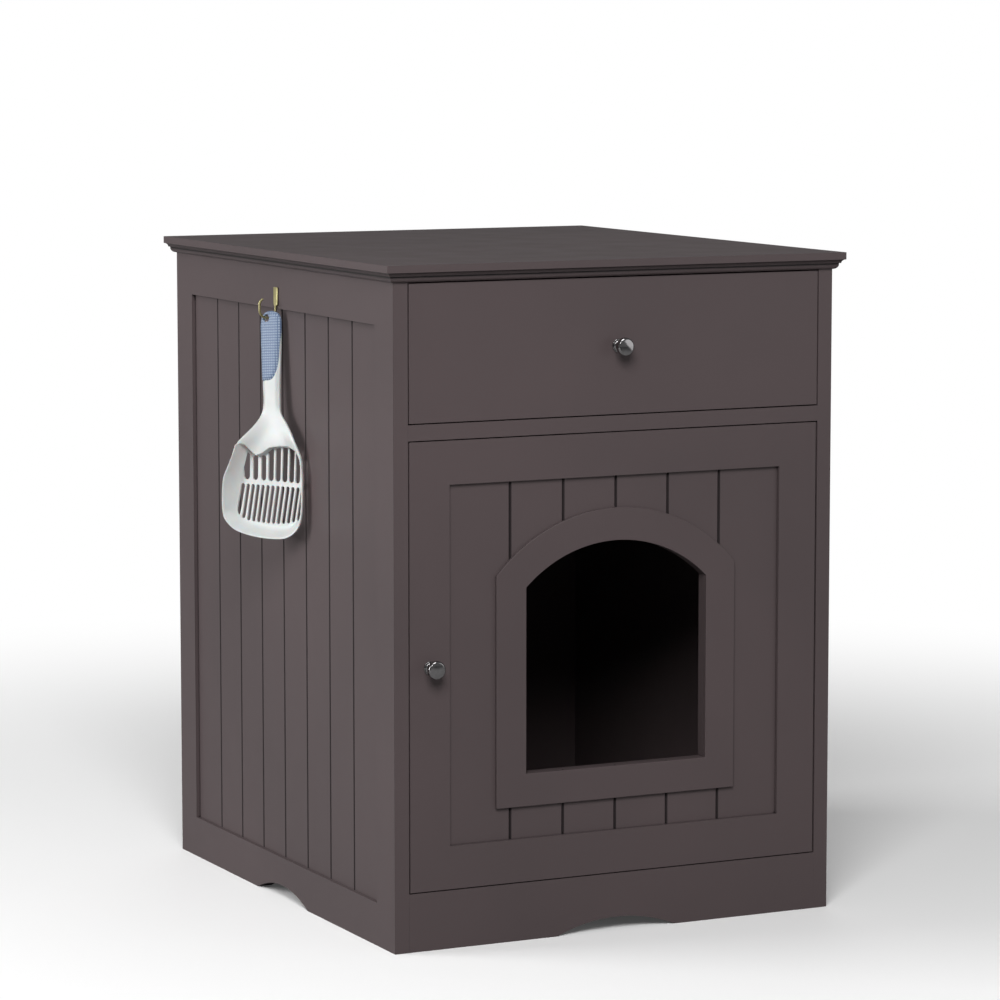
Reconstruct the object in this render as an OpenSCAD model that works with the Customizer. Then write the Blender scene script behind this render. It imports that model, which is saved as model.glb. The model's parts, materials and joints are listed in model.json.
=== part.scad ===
// Litter box cabinet with a top drawer and a door with an arched entrance.
// X runs across the front, Y from front to back, Z up from the floor.

/* [Cabinet] */
// Width over both side panels
cabinet_w = 470; // [430:1:540]
// Depth of the side panels
cabinet_d = 541.5; // [510:0.5:620]
// Height from the floor to the upper face of the top
cabinet_h = 649; // [620:1:720]
// Thickness of the sides, shelf, floor, apron and fronts
board_t = 15; // [15:0.5:18]
// Gap round the door and the drawer front
reveal = 1.2; // [1.2:0.1:2.5]
// Thickness of the back board
back_t = 12; // [9:0.5:15]
// Set-back of the back board from the rear edges of the sides
back_inset = 12.5; // [8:0.5:20]
// Height of the front apron
apron_h = 56; // [50:1:75]
// Clear height between the shelf and the top
drawer_bay_h = 132.7; // [128:0.1:150]

/* [Top edge] */
// Overhang of the top at the front and the sides
top_overhang = 10; // [10:0.5:20]
// Overhang of the top at the back
top_rear_overhang = 11.5; // [10:0.5:20]
// Height of the plain band of the routed edge
top_band_h = 7; // [5:0.5:12]
// Radius of the hollow under the band
top_cove_r = 3.6; // [2:0.1:4]
// Width of the small step between hollow and bead
top_step_w = 1.6; // [1:0.1:2]
// Height of the small step between hollow and bead
top_step_h = 1.2; // [0.5:0.1:3]
// Radius of the bead next to the sides
top_bead_r = 4.7; // [3:0.1:4.7]

/* [Panelling] */
// Width of the plain frame round each sunk panel
frame_w = 41.4; // [38:0.1:48]
// Depth of the sunk panels
sink = 4; // [2:0.5:4]
// Spacing of the upright grooves
groove_pitch = 56.25; // [40:0.25:70]
// Width of a groove at the surface
groove_w = 3; // [2:0.5:5]
// Depth of a groove
groove_depth = 2; // [1:0.1:2]
// Number of grooves in a side panel
side_grooves = 7; // [1:2:7]
// Number of grooves in the door
door_grooves = 5; // [1:2:5]

/* [Feet] */
// Width of the arches cut under the sides and the apron
arch_w = 127.5; // [80:0.5:200]
// Rise of these arches
arch_rise = 13.3; // [8:0.1:20]

/* [Entrance] */
// Width of the entrance
opening_w = 194; // [150:1:200]
// Height of the sill above the lower edge of the door
sill_h = 104.1; // [90:0.1:120]
// Height of the door left above the crown of the entrance
head_h = 103.7; // [90:0.1:115]
// Rise of the arched head above the jambs
crown_rise = 39.9; // [25:0.1:50]
// Width of the applied casing
casing_w = 31.5; // [20:0.5:35]

/* [Door pivots] */
// Distance of the pivot line from the hinge edge of the door
pivot_in = 25; // [22:0.5:32]
// Radius of a pivot pin
pin_r = 2; // [1.5:0.1:2.5]
// Length of a pivot pin inside the door
pin_in_door = 12; // [8:0.5:20]
// Length of a pivot pin outside the door
pin_out = 8; // [6:0.5:9]
// Outer radius of a pivot bush
bush_r = 4; // [3.5:0.1:5]
// Radius of the flange of a bush
bush_flange_r = 6; // [5.5:0.1:7]
// Thickness of the flange of a bush
bush_flange_t = 0.8; // [0.5:0.1:0.9]
// Length of a bush below its flange
bush_len = 9; // [8:0.5:12]
// Radial running clearance of the pins and axles
running_gap = 0.08; // [0.03:0.01:0.1]
// Radius of the eased hinge edge of the door
edge_round = 1; // [0.5:0.1:2]

/* [Drawer] */
// Height of the drawer sides
drawer_side_h = 100; // [70:1:105]
// Thickness of the drawer sides and back
drawer_side_t = 12; // [12:0.5:15]
// Length of the drawer sides
drawer_len = 430; // [415:1:460]
// Thickness of the drawer bottom
drawer_bottom_t = 4; // [3:0.5:5]
// Height of the bottom groove above the lower edge of the sides
bottom_up = 8; // [6:0.5:12]
// Depth of the bottom groove
bottom_bite = 5; // [3:0.5:6]

/* [Runners] */
// Length of a runner
runner_len = 400; // [350:1:410]
// Room for a runner between the drawer and a side panel
runner_gap = 12.7; // [12.7:0.1:13.5]
// Height of the cabinet member of a runner
runner_h = 22; // [22:0.5:26]
// Thickness of the runner steel
runner_t = 1.2; // [1:0.1:1.3]
// Height of the runners above the shelf
runner_lift = 6; // [4:0.5:10]
// Radius of a roller
roller_r = 8.5; // [8:0.1:8.5]
// Width of a roller
roller_w = 6.2; // [5:0.1:6.5]
// Radius of a roller axle
axle_r = 2; // [1.5:0.1:3]
// Distance of a roller centre from the end of its member
roller_in = 12; // [10:0.5:16]
// Gap between a roller and the flange that it carries
roller_gap = 0.3; // [0.2:0.05:0.4]

/* [Fittings] */
// Radius of a cam lock
cam_r = 7.5; // [6:0.1:8]
// Distance of a cam centre from the joint
cam_in = 24; // [20:0.5:34]
// Board left under a cam lock
cam_floor = 2.5; // [2:0.1:2.8]
// Radius of the shank of a cam bolt
bolt_r = 3; // [2.5:0.1:3.5]
// Radius of the thread of a cam bolt
thread_r = 2.5; // [2:0.1:3]
// Length of the thread of a cam bolt
thread_len = 8; // [6:0.5:8.5]
// Radius of a wooden dowel
dowel_r = 4; // [3:0.5:4]
// Length of a dowel in the end of a board
dowel_in = 20; // [15:0.5:25]
// Length of a dowel in the face of a board
dowel_out = 8.5; // [6:0.5:9]
// Distance of the cam locks from the ends of a joint
cam_edge = 58; // [50:1:70]
// Distance of the dowels from the ends of a joint
dowel_edge = 22; // [18:1:30]
// Clearance of glued and pushed-in fittings
fit = 0.1; // [0.05:0.01:0.2]
// Radius of a wood screw
screw_r = 1.75; // [1.5:0.05:2.25]
// Radius of a screw head
screw_head_r = 3.4; // [3:0.1:4]
// Length of the screws through the back board
back_screw_len = 35; // [30:1:40]

/* [Knobs] */
// Diameter of a knob
knob_d = 17.5; // [14:0.5:30]
// Projection of a knob
knob_reach = 18; // [15:0.5:28]
// Diameter of the foot of a knob
knob_foot_d = 13; // [10:0.5:14]
// Diameter of the neck of a knob
knob_neck_d = 7.6; // [7:0.1:9]
// Radius of the rounded rim of a knob
knob_rim_r = 2.2; // [1:0.1:3]
// Radius of a knob screw
knob_screw_r = 2; // [1.5:0.1:2.5]
// Thread length of a knob screw inside its knob
knob_screw_in = 9; // [6:0.5:11]

/* [Catch] */
// Distance of the catch centre from the free side of the door bay
catch_in = 40; // [30:1:80]
// Width of the catch
catch_w = 42; // [38:1:60]
// Height of the catch
catch_h = 12; // [10:0.5:16]
// Length of the catch, front to back
catch_len = 16; // [14:0.5:24]
// Width of the magnet
magnet_w = 20; // [14:1:22]
// Height of the magnet
magnet_h = 7; // [5:0.5:8]
// Gap between the magnet and its plate when the door is shut
catch_gap = 0.3; // [0.2:0.1:0.6]
// Thickness of the strike plate
plate_t = 1; // [0.8:0.1:1.5]

/* [Scoop hook] */
// Place of the hook behind the front edge of the side
hook_y = 275; // [120:1:400]
// Width of the hook plate
hook_plate_w = 10; // [5:0.5:12]
// Thickness of the hook plate
hook_plate_t = 1.8; // [1.5:0.1:2]
// Length of the hook plate
hook_plate_len = 21; // [15:0.5:30]
// Radius of the hook wire
hook_wire_r = 1.1; // [0.9:0.05:1.2]
// Radius of the bend of the hook
hook_bend_r = 7.5; // [7.4:0.1:9]
// Straight run of the wire the scoop hangs from
hook_run = 2; // [1.5:0.1:3]
// Height of the straight front leg of the hook
hook_leg = 5.5; // [2:0.5:7]
// Radius of the curled tip of the hook
hook_tip_r = 6; // [4:0.5:8]
// Turn of the curled tip of the hook
hook_tip_turn = 60; // [50:5:70]

/* [Scoop] */
// Turn of the hanging scoop away from the side panel
scoop_turn = 26; // [15:1:26]
// Lean of the hanging scoop, pan outwards
scoop_lean = 6; // [6:0.5:9]
// Tilt of the hanging scoop in its own plane
scoop_tilt = 4.5; // [0:0.5:8]
// Turn of the pan in the plane of the handle
pan_skew = 4; // [0:0.5:5]
// Distance of the middle of the pan from the middle line of the handle
pan_off = 2; // [0:0.5:3]
// Distance of the hanging hole from the middle line of the handle
hang_off = 4.2; // [0:0.2:4.2]
// Radius of the hanging hole
hang_r = 3.9; // [3.8:0.1:4.2]
// Width of the handle
handle_w = 25.8; // [20:0.2:28]
// Width of the neck
neck_w = 20.6; // [16:0.2:24]
// Thickness of the handle core
handle_t = 3.5; // [3:0.1:4]
// Thickness of the soft grip
grip_t = 1.5; // [1:0.1:2]
// Length of the grip below the hanging hole
grip_len = 62; // [50:0.5:75]
// Length of the handle below the hanging hole
handle_len = 96; // [90:1:105]
// Width of the pan at its rim
pan_w = 103; // [90:1:106]
// Length of the pan
pan_len = 98; // [90:1:100]
// Length of the shoulders between neck and pan
shoulder_len = 22; // [18:1:30]
// Width of the flat between the top of the pan and its hollow
brow_w = 8; // [6:0.5:10]
// Depth of the pan at the shoulders
pan_deep = 17; // [9:0.5:18]
// Depth of the pan at the lip
pan_lip = 8; // [4:0.5:9]
// Run of the sloping pan wall
pan_slope = 10; // [7:0.5:11]
// Wall thickness of the pan
pan_t = 2; // [1.5:0.1:2.5]
// Radius of the tongue where the shoulders dip into the pan
tongue_r = 10; // [6:0.5:12]
// Number of slots in the row by the lip
fine_slots = 13; // [7:1:13]
// Number of slots in the row by the handle
coarse_slots = 9; // [5:1:9]
// Width of a slot by the lip
fine_slot_w = 3.5; // [3:0.1:4]
// Width of a slot by the handle
coarse_slot_w = 5.5; // [4.5:0.1:6]
// Length of the slots by the lip
fine_slot_len = 38.5; // [36:0.5:40]
// Distance of these slots from the lip
fine_slot_end = 13; // [12.5:0.1:14]
// Bar between the two rows of slots
slot_bar = 4.5; // [4:0.1:5]
// Width of the row by the lip, between its outer slots
fine_row_w = 79; // [76:1:80]
// Width of the row by the handle, between its outer slots
coarse_row_w = 73; // [70:1:74]

/* [Hidden] */
$fn = 64;
eps = 0.5;

half_w = cabinet_w / 2;
half_in = half_w - board_t;
top_t = top_band_h + top_cove_r + top_step_h + top_bead_r;
body_h = cabinet_h - top_t;
floor_z = apron_h - board_t;
bay_h = body_h - drawer_bay_h - board_t - apron_h;
shelf_z = apron_h + bay_h;
shelf_top = shelf_z + board_t;
back_y = cabinet_d - back_inset - back_t;
front_w = 2 * half_in - 2 * reveal;
door_z = apron_h + reveal;
door_h = bay_h - 2 * reveal;
drawer_front_z = shelf_top + reveal;
drawer_front_h = body_h - shelf_top - 2 * reveal;

arch_r = (pow(arch_w / 2, 2) + pow(arch_rise, 2)) / (2 * arch_rise);
crown_r = (pow(opening_w / 2, 2) + pow(crown_rise, 2)) / (2 * crown_rise);
sill_z = door_z + sill_h;
crown_z = door_z + door_h - head_h - crown_r;

pivot_x = front_w / 2 - pivot_in;
pivot_y = board_t / 2;

drawer_out = half_in - runner_gap;
drawer_in = drawer_out - drawer_side_t;
runner_z = shelf_top + runner_lift;
flange_z = runner_z + runner_h - runner_t - runner_gap_top();
drawer_z = runner_z + 2 * runner_t + 2 * roller_gap;
drawer_end = board_t + drawer_len;
member_y = board_t + 2;
front_roller_y = member_y + roller_in;
rear_roller_y = board_t + 1 + runner_len - roller_in;
front_roller_z = flange_z - roller_gap - roller_r;
rear_roller_z = runner_z + runner_t + roller_gap + roller_r;
roller_side_gap = 1.4;
roller_x = half_in - runner_t - roller_side_gap - roller_w / 2;

cam_ys = [cam_edge, back_y - cam_edge];
dowel_ys = [dowel_edge, back_y - dowel_edge];
shelf_mid = shelf_z + board_t / 2;
floor_mid = floor_z + board_t / 2;
side_mid = half_w - board_t / 2;
apron_dowel_zs = [apron_h * 0.25, apron_h * 0.72];
tie_xs = [-half_in / 2, half_in / 2];
back_screw_xs = [-half_in * 0.75, 0, half_in * 0.75];
drawer_cam_zs = [drawer_z + drawer_side_h * 0.28, drawer_z + drawer_side_h * 0.78];
drawer_mid = drawer_out - drawer_side_t / 2;
runner_screw_ys = [member_y + 34, member_y + runner_len / 2, member_y + runner_len - 30];
runner_screw_z = runner_z + runner_h / 2;
runner_screw_len = 8 + runner_t;
head_t = 0.6;

drawer_knob_z = drawer_front_z + drawer_front_h / 2;
door_knob_x = -front_w / 2 + frame_w / 2;
door_knob_z = door_z + door_h / 2;
catch_x = -half_in + catch_in;
magnet_z = shelf_z - catch_h / 2 - magnet_h / 2;

hook_low_z = body_h - frame_w - 1.2 - hook_bend_r;
hook_back_x = half_w + hook_wire_r + 0.15;
hang_x = hook_back_x + hook_bend_r + hook_run / 2;
hang_drop = 0.5;
pan_top = handle_len + shoulder_len;
pan_end = pan_top + pan_len;
pan_mid = (pan_top + pan_end) / 2;
pan_rim_mid = (pan_deep + pan_lip) / 2;
scoop_reach = hang_x + sin(scoop_turn) * (pan_w / 2 - hang_off - pan_off
        + sin(pan_skew) * (pan_mid - handle_len))
    + cos(scoop_turn) * (pan_rim_mid + 1 + sin(scoop_lean) * pan_mid);

shift_x = (scoop_reach - half_w - top_overhang) / 2;
shift_y = (knob_reach - cabinet_d - top_rear_overhang) / 2;

board_colour = "#534a4b";
raw_colour = "#a98f6d";
steel_colour = "#b9bcc0";
chrome_colour = "#dadcdf";
brass_colour = "#c3b377";
nylon_colour = "#e9e7df";
scoop_colour = "#dfe2e2";
grip_colour = "#7d90ad";

function runner_gap_top() = runner_t + 0.5;

// ---------- placing and repeating ----------

module placed(tint) {
    color(tint) translate([shift_x, shift_y, 0]) children();
}

module both_sides() {
    children();
    mirror([1, 0, 0]) children();
}

module at_each_x(xs) {
    for (x = xs) translate([x, 0, 0]) children();
}

module at_each_y(ys) {
    for (y = ys) translate([0, y, 0]) children();
}

module at_each_z(zs) {
    for (z = zs) translate([0, 0, z]) children();
}

// A block from its lowest corner to its highest corner
module block(low, high) {
    translate(low) cube(high - low);
}

// ---------- cuts that repeat ----------

// Bottom arch, drawn upright and cut through along Y
module foot_arch(through) {
    translate([0, 0, arch_rise - arch_r])
        rotate([-90, 0, 0])
            translate([0, 0, -eps]) cylinder(r = arch_r, h = through + 2 * eps, $fn = 180);
}

// Sunk panel with upright grooves, on a face that looks towards -Y
module panel_cut(w, low, high, count) {
    block([-w / 2, -eps, low], [w / 2, sink, high]);
    for (i = [0 : count - 1])
        translate([(i - (count - 1) / 2) * groove_pitch, sink, low])
            linear_extrude(high - low)
                polygon([[-groove_w / 2, -eps], [-groove_w / 2, 0], [0, groove_depth],
                    [groove_w / 2, 0], [groove_w / 2, -eps]]);
}

// ---------- fittings, joint plane at z = 0, screwed end towards +Z ----------

module cam_bolt(thread = thread_len) {
    cylinder(r = thread_r, h = thread);
    translate([0, 0, -cam_in + cam_r + 1]) cylinder(r = bolt_r, h = cam_in - cam_r - 1);
    translate([0, 0, -cam_in + 2]) cylinder(r = bolt_r * 0.6, h = cam_r);
    translate([0, 0, -cam_in - 1]) cylinder(r = bolt_r, h = 3.5);
}

module cam_bolt_hole() {
    translate([0, 0, -cam_in]) cylinder(r = bolt_r + fit, h = cam_in + eps);
}

module cam_thread_hole(thread = thread_len) {
    translate([0, 0, -eps]) cylinder(r = thread_r + fit, h = thread + fit + eps);
}

// A cam lock that is let into the face at y = -thickness / 2
module cam_lock(thickness) {
    tall = thickness - cam_floor;
    translate([0, -thickness / 2, -cam_in])
        rotate([-90, 0, 0])
            difference() {
                cylinder(r = cam_r, h = tall);
                translate([-bolt_r - 0.6, -cam_r - eps, thickness / 2 - bolt_r - 0.6])
                    cube([2 * bolt_r + 1.2, cam_r + bolt_r + 1, 2 * bolt_r + 1.2]);
                translate([-0.8, -cam_r * 0.6, -eps]) cube([1.6, cam_r * 1.2, 1.5 + eps]);
                translate([-cam_r * 0.6, -0.8, -eps]) cube([cam_r * 1.2, 1.6, 1.5 + eps]);
            }
}

module cam_pocket(thickness) {
    translate([0, -thickness / 2 - eps, -cam_in])
        rotate([-90, 0, 0])
            cylinder(r = cam_r + fit, h = thickness - cam_floor + fit + eps);
}

module dowel() {
    translate([0, 0, -dowel_in]) cylinder(r = dowel_r, h = dowel_in + dowel_out);
}

module dowel_hole() {
    translate([0, 0, -dowel_in - fit])
        cylinder(r = dowel_r + fit, h = dowel_in + dowel_out + 2 * fit);
}

// Countersunk screw: head flush at z = 0, point towards +Z
module flush_screw(len, gap = 0) {
    translate([0, 0, -gap]) cylinder(r1 = screw_head_r + gap, r2 = screw_r + gap,
        h = screw_head_r - screw_r + gap);
    cylinder(r = screw_r + gap, h = len + gap);
}

// Low-headed screw: head under z = 0, point towards +Z
module flat_screw(len) {
    translate([0, 0, -head_t]) cylinder(r = screw_head_r, h = head_t);
    cylinder(r = screw_r, h = len);
}

module screw_hole(len) {
    translate([0, 0, -eps]) cylinder(r = screw_r + fit, h = len + fit + eps);
}

// ---------- where the fittings of the cabinet go, right-hand half ----------

module at_board_ends(z) {
    translate([half_in, 0, z]) rotate([0, 90, 0]) rotate([0, 0, 90]) children();
}

module at_cabinet_cams() {
    at_each_y(cam_ys) {
        at_board_ends(shelf_mid) children();
        at_board_ends(floor_mid) children();
    }
}

module at_top_cams() {
    at_each_y(cam_ys) translate([side_mid, 0, body_h]) rotate([0, 0, -90]) children();
}

module at_cabinet_dowels() {
    at_each_y(dowel_ys) {
        at_board_ends(shelf_mid) children();
        at_board_ends(floor_mid) children();
    }
    at_each_y([board_t / 2]) at_each_z(apron_dowel_zs) at_board_ends(0) children();
}

module at_top_dowels() {
    at_each_y(dowel_ys) translate([side_mid, 0, body_h]) children();
}

// Dowels between the floor board and the apron
module at_tie_dowels() {
    at_each_x(tie_xs) translate([0, board_t, floor_mid]) rotate([90, 0, 0]) children();
}

module at_back_screws() {
    at_each_x(back_screw_xs) at_each_z([shelf_mid, floor_mid])
        translate([0, back_y + back_t, 0]) rotate([90, 0, 0]) children();
}

module at_runner_screws_cabinet() {
    at_each_y(runner_screw_ys)
        translate([half_in - runner_t, 0, runner_screw_z]) rotate([0, 90, 0]) children();
}

module at_runner_screws_drawer() {
    at_each_y(runner_screw_ys)
        translate([drawer_out + runner_t, 0, drawer_z + bottom_up / 2])
            rotate([0, -90, 0]) children();
}

// ---------- cabinet ----------

module side_panel_right_solid() {
    difference() {
        block([half_in, 0, 0], [half_w, cabinet_d, body_h]);
        translate([half_w, cabinet_d / 2, 0]) rotate([0, 0, 90])
            panel_cut(cabinet_d - 2 * frame_w, frame_w, body_h - frame_w, side_grooves);
        translate([half_in, cabinet_d / 2, 0]) rotate([0, 0, -90]) foot_arch(board_t);
        at_cabinet_cams() cam_thread_hole();
        at_cabinet_dowels() dowel_hole();
        at_top_cams() {
            cam_bolt_hole();
            cam_pocket(board_t);
        }
        at_top_dowels() dowel_hole();
        at_runner_screws_cabinet() screw_hole(runner_screw_len);
    }
}

module side_panel_right() {
    placed(board_colour) side_panel_right_solid();
}

module side_panel_left() {
    placed(board_colour) mirror([1, 0, 0]) side_panel_right_solid();
}

// Routed edge of the top as an outline: x outwards from the side, y up
module top_edge(reach) {
    out = reach + top_overhang;
    difference() {
        translate([-reach, 0]) square([reach + out, top_t]);
        difference() {
            translate([out - top_cove_r - top_step_w - top_bead_r, -eps])
                square([top_cove_r + top_step_w + top_bead_r + eps,
                    eps + top_bead_r + top_step_h + top_cove_r]);
            translate([out - top_cove_r - top_step_w - top_bead_r, top_bead_r])
                circle(r = top_bead_r);
            translate([out - top_cove_r - top_step_w - top_bead_r - eps, top_bead_r])
                square([top_bead_r + eps, top_step_h + top_cove_r + eps]);
            translate([out - top_cove_r - top_step_w - eps, top_bead_r + top_step_h])
                difference() {
                    square([top_cove_r + top_step_w + eps, top_cove_r + eps]);
                    translate([top_cove_r + top_step_w + eps, 0]) circle(r = top_cove_r);
                }
        }
    }
}

module top_board() {
    long = cabinet_d + top_overhang + top_rear_overhang;
    placed(board_colour) translate([0, 0, body_h])
        difference() {
            intersection() {
                translate([0, -top_overhang, 0])
                    rotate([90, 0, 0]) translate([0, 0, -long])
                        linear_extrude(long) both_sides() top_edge(half_w);
                translate([-half_w - top_overhang, cabinet_d / 2, 0])
                    rotate([90, 0, 90]) linear_extrude(cabinet_w + 2 * top_overhang) {
                        mirror([1, 0, 0]) top_edge(cabinet_d / 2);
                        translate([top_rear_overhang - top_overhang, 0])
                            top_edge(cabinet_d / 2);
                    }
            }
            translate([0, 0, -body_h]) both_sides() {
                at_top_cams() cam_thread_hole(10);
                at_top_dowels() dowel_hole();
            }
        }
}

module divider_shelf() {
    placed(board_colour)
        difference() {
            block([-half_in, 0, shelf_z], [half_in, back_y, shelf_top]);
            both_sides() {
                at_each_y(cam_ys) at_board_ends(shelf_mid) {
                    cam_bolt_hole();
                    cam_pocket(board_t);
                }
                at_each_y(dowel_ys) at_board_ends(shelf_mid) dowel_hole();
            }
            at_back_screws() screw_hole(back_screw_len);
            translate([pivot_x, pivot_y, shelf_z]) bush_hole();
            at_catch_screws() screw_hole(catch_screw_len());
        }
}

module floor_board() {
    placed(board_colour)
        difference() {
            block([-half_in, board_t, floor_z], [half_in, back_y, apron_h]);
            both_sides() {
                at_each_y(cam_ys) at_board_ends(floor_mid) {
                    cam_bolt_hole();
                    cam_pocket(board_t);
                }
                at_each_y(dowel_ys) at_board_ends(floor_mid) dowel_hole();
            }
            at_tie_dowels() dowel_hole();
            at_back_screws() screw_hole(back_screw_len);
        }
}

module back_board() {
    placed(board_colour)
        difference() {
            block([-half_in, back_y, floor_z], [half_in, back_y + back_t, body_h]);
            at_back_screws() flush_screw(back_screw_len, fit);
        }
}

module front_apron() {
    placed(board_colour)
        difference() {
            block([-half_in, 0, 0], [half_in, board_t, apron_h]);
            foot_arch(board_t);
            both_sides() at_cabinet_dowels() dowel_hole();
            at_tie_dowels() dowel_hole();
            translate([pivot_x, pivot_y, apron_h]) mirror([0, 0, 1]) bush_hole();
        }
}

module wood_dowels() {
    placed(raw_colour) {
        both_sides() {
            at_cabinet_dowels() dowel();
            at_top_dowels() dowel();
        }
        at_tie_dowels() mirror([0, 0, 1]) translate([0, 0, dowel_in - dowel_out]) dowel();
    }
}

module cam_locks() {
    placed(steel_colour) both_sides() {
        at_cabinet_cams() cam_lock(board_t);
        at_top_cams() cam_lock(board_t);
    }
}

module cam_bolts() {
    placed(steel_colour) both_sides() {
        at_cabinet_cams() cam_bolt();
        at_top_cams() cam_bolt(10);
    }
}

module back_screws() {
    placed(steel_colour) at_back_screws() flush_screw(back_screw_len);
}

// ---------- door pivots ----------

// Bush with its flange under z = 0 and its sleeve towards +Z
module pivot_bush() {
    difference() {
        union() {
            translate([0, 0, -bush_flange_t]) cylinder(r = bush_flange_r, h = bush_flange_t);
            cylinder(r = bush_r, h = bush_len);
        }
        translate([0, 0, -bush_flange_t - eps])
            cylinder(r = pin_r + running_gap, h = bush_len + bush_flange_t + 2 * eps);
    }
}

module bush_hole() {
    translate([0, 0, -eps]) cylinder(r = bush_r + fit, h = bush_len + fit + eps);
}

module pivot_bush_lower() {
    placed(nylon_colour) translate([pivot_x, pivot_y, apron_h]) mirror([0, 0, 1]) pivot_bush();
}

module pivot_bush_upper() {
    placed(nylon_colour) translate([pivot_x, pivot_y, shelf_z]) pivot_bush();
}

module pivot_pin_lower() {
    placed(steel_colour) translate([pivot_x, pivot_y, door_z - pin_out])
        cylinder(r = pin_r, h = pin_out + pin_in_door);
}

module pivot_pin_upper() {
    placed(steel_colour) translate([pivot_x, pivot_y, door_z + door_h - pin_in_door])
        cylinder(r = pin_r, h = pin_out + pin_in_door);
}

// ---------- door ----------

// Outline of the arched opening, grown by a margin on every side
module arch_outline(margin) {
    foot = sill_z - margin;
    spring = crown_z + sqrt(pow(crown_r + margin, 2) - pow(opening_w / 2 + margin, 2));
    translate([-opening_w / 2 - margin, foot]) square([opening_w + 2 * margin, spring - foot]);
    intersection() {
        translate([0, crown_z]) circle(r = crown_r + margin, $fn = 180);
        translate([-opening_w / 2 - margin, spring - eps])
            square([opening_w + 2 * margin, crown_r + margin]);
    }
}

// The arched outline as a solid from y = from to y = to
module arch_block(margin, from, to) {
    translate([0, to, 0]) rotate([90, 0, 0]) linear_extrude(to - from) arch_outline(margin);
}

module door_panel() {
    placed(board_colour)
        difference() {
            block([-front_w / 2, 0, door_z], [front_w / 2, board_t, door_z + door_h]);
            panel_cut(front_w - 2 * frame_w, door_z + frame_w, door_z + door_h - frame_w,
                door_grooves);
            arch_block(0, -eps, board_t + eps);
            translate([front_w / 2 - edge_round, 0, door_z - eps])
                linear_extrude(door_h + 2 * eps)
                    difference() {
                        translate([0, -eps]) square([edge_round + eps, edge_round + eps]);
                        translate([0, edge_round]) circle(r = edge_round);
                    }
            at_door_pins() translate([0, 0, -eps])
                cylinder(r = pin_r + running_gap / 2, h = pin_in_door + fit + eps);
            translate([door_knob_x, 0, door_knob_z]) knob_hole();
            at_strike_screws() translate([0, 0, plate_t]) screw_hole(9);
        }
}

module at_door_pins() {
    translate([pivot_x, pivot_y, door_z]) children();
    translate([pivot_x, pivot_y, door_z + door_h]) mirror([0, 0, 1]) children();
}

module entrance_casing() {
    placed(board_colour)
        difference() {
            arch_block(casing_w, 0, sink);
            arch_block(0, -eps, sink + eps);
        }
}

// ---------- knobs, foot on y = 0, head towards -Y ----------

module knob_outline() {
    foot_t = 1.4;
    neck_end = knob_reach * 0.52;
    head_low = knob_reach * 0.62;
    difference() {
        union() {
            square([knob_foot_d / 2, foot_t]);
            polygon([[0, foot_t], [knob_foot_d / 2 - 1.4, foot_t], [knob_neck_d / 2, foot_t + 2],
                [knob_neck_d / 2, neck_end], [knob_d / 2 - knob_rim_r, head_low],
                [knob_d / 2 - knob_rim_r, knob_reach], [0, knob_reach]]);
            translate([knob_d / 2 - knob_rim_r, head_low + knob_rim_r]) circle(r = knob_rim_r);
            translate([knob_d / 2 - knob_rim_r, knob_reach - knob_rim_r]) circle(r = knob_rim_r);
            translate([knob_d / 2 - knob_rim_r, head_low + knob_rim_r])
                square([knob_rim_r, knob_reach - head_low - 2 * knob_rim_r]);
        }
        translate([-knob_d, 0]) square([knob_d, knob_reach + eps]);
    }
}

module knob() {
    rotate([90, 0, 0])
        difference() {
            rotate_extrude() knob_outline();
            translate([0, 0, -eps])
                cylinder(r = knob_screw_r + fit, h = knob_screw_in + fit + eps);
        }
}

module knob_screw() {
    rotate([90, 0, 0]) translate([0, 0, -board_t]) {
        cylinder(r = knob_screw_r, h = board_t + knob_screw_in);
        translate([0, 0, -knob_screw_r * 1.2]) cylinder(r = knob_screw_r * 2, h = knob_screw_r * 1.2);
    }
}

module knob_hole() {
    rotate([90, 0, 0]) translate([0, 0, -board_t - eps])
        cylinder(r = knob_screw_r + fit, h = board_t + 2 * eps);
}

module door_knob() {
    placed(chrome_colour) translate([door_knob_x, 0, door_knob_z]) knob();
}

module door_knob_screw() {
    placed(steel_colour) translate([door_knob_x, 0, door_knob_z]) knob_screw();
}

module drawer_knob() {
    placed(chrome_colour) translate([0, 0, drawer_knob_z]) knob();
}

module drawer_knob_screw() {
    placed(steel_colour) translate([0, 0, drawer_knob_z]) knob_screw();
}

// ---------- magnetic catch ----------

function catch_y() = board_t + plate_t + catch_gap + 0.4;
function catch_screw_len() = 10;

module at_catch_screws() {
    at_each_x([catch_x - catch_w / 2 + 5, catch_x + catch_w / 2 - 5])
        translate([0, catch_y() + catch_len / 2, shelf_z]) children();
}

module at_strike_screws() {
    at_each_x([catch_x - magnet_w / 2 - 1, catch_x + magnet_w / 2 + 1])
        translate([0, board_t + plate_t, magnet_z + magnet_h / 2]) rotate([90, 0, 0]) children();
}

module catch_housing() {
    placed(nylon_colour)
        difference() {
            block([catch_x - catch_w / 2, catch_y(), shelf_z - catch_h],
                [catch_x + catch_w / 2, catch_y() + catch_len, shelf_z]);
            block([catch_x - magnet_w / 2 - fit, catch_y() - eps, magnet_z - fit],
                [catch_x + magnet_w / 2 + fit, catch_y() + catch_len - 3, magnet_z + magnet_h + fit]);
            at_catch_screws() translate([0, 0, -catch_h]) flush_screw(catch_h + eps, fit);
        }
}

module catch_magnet() {
    placed(steel_colour)
        block([catch_x - magnet_w / 2, board_t + plate_t + catch_gap, magnet_z],
            [catch_x + magnet_w / 2, catch_y() + catch_len - 3 - fit, magnet_z + magnet_h]);
}

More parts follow.
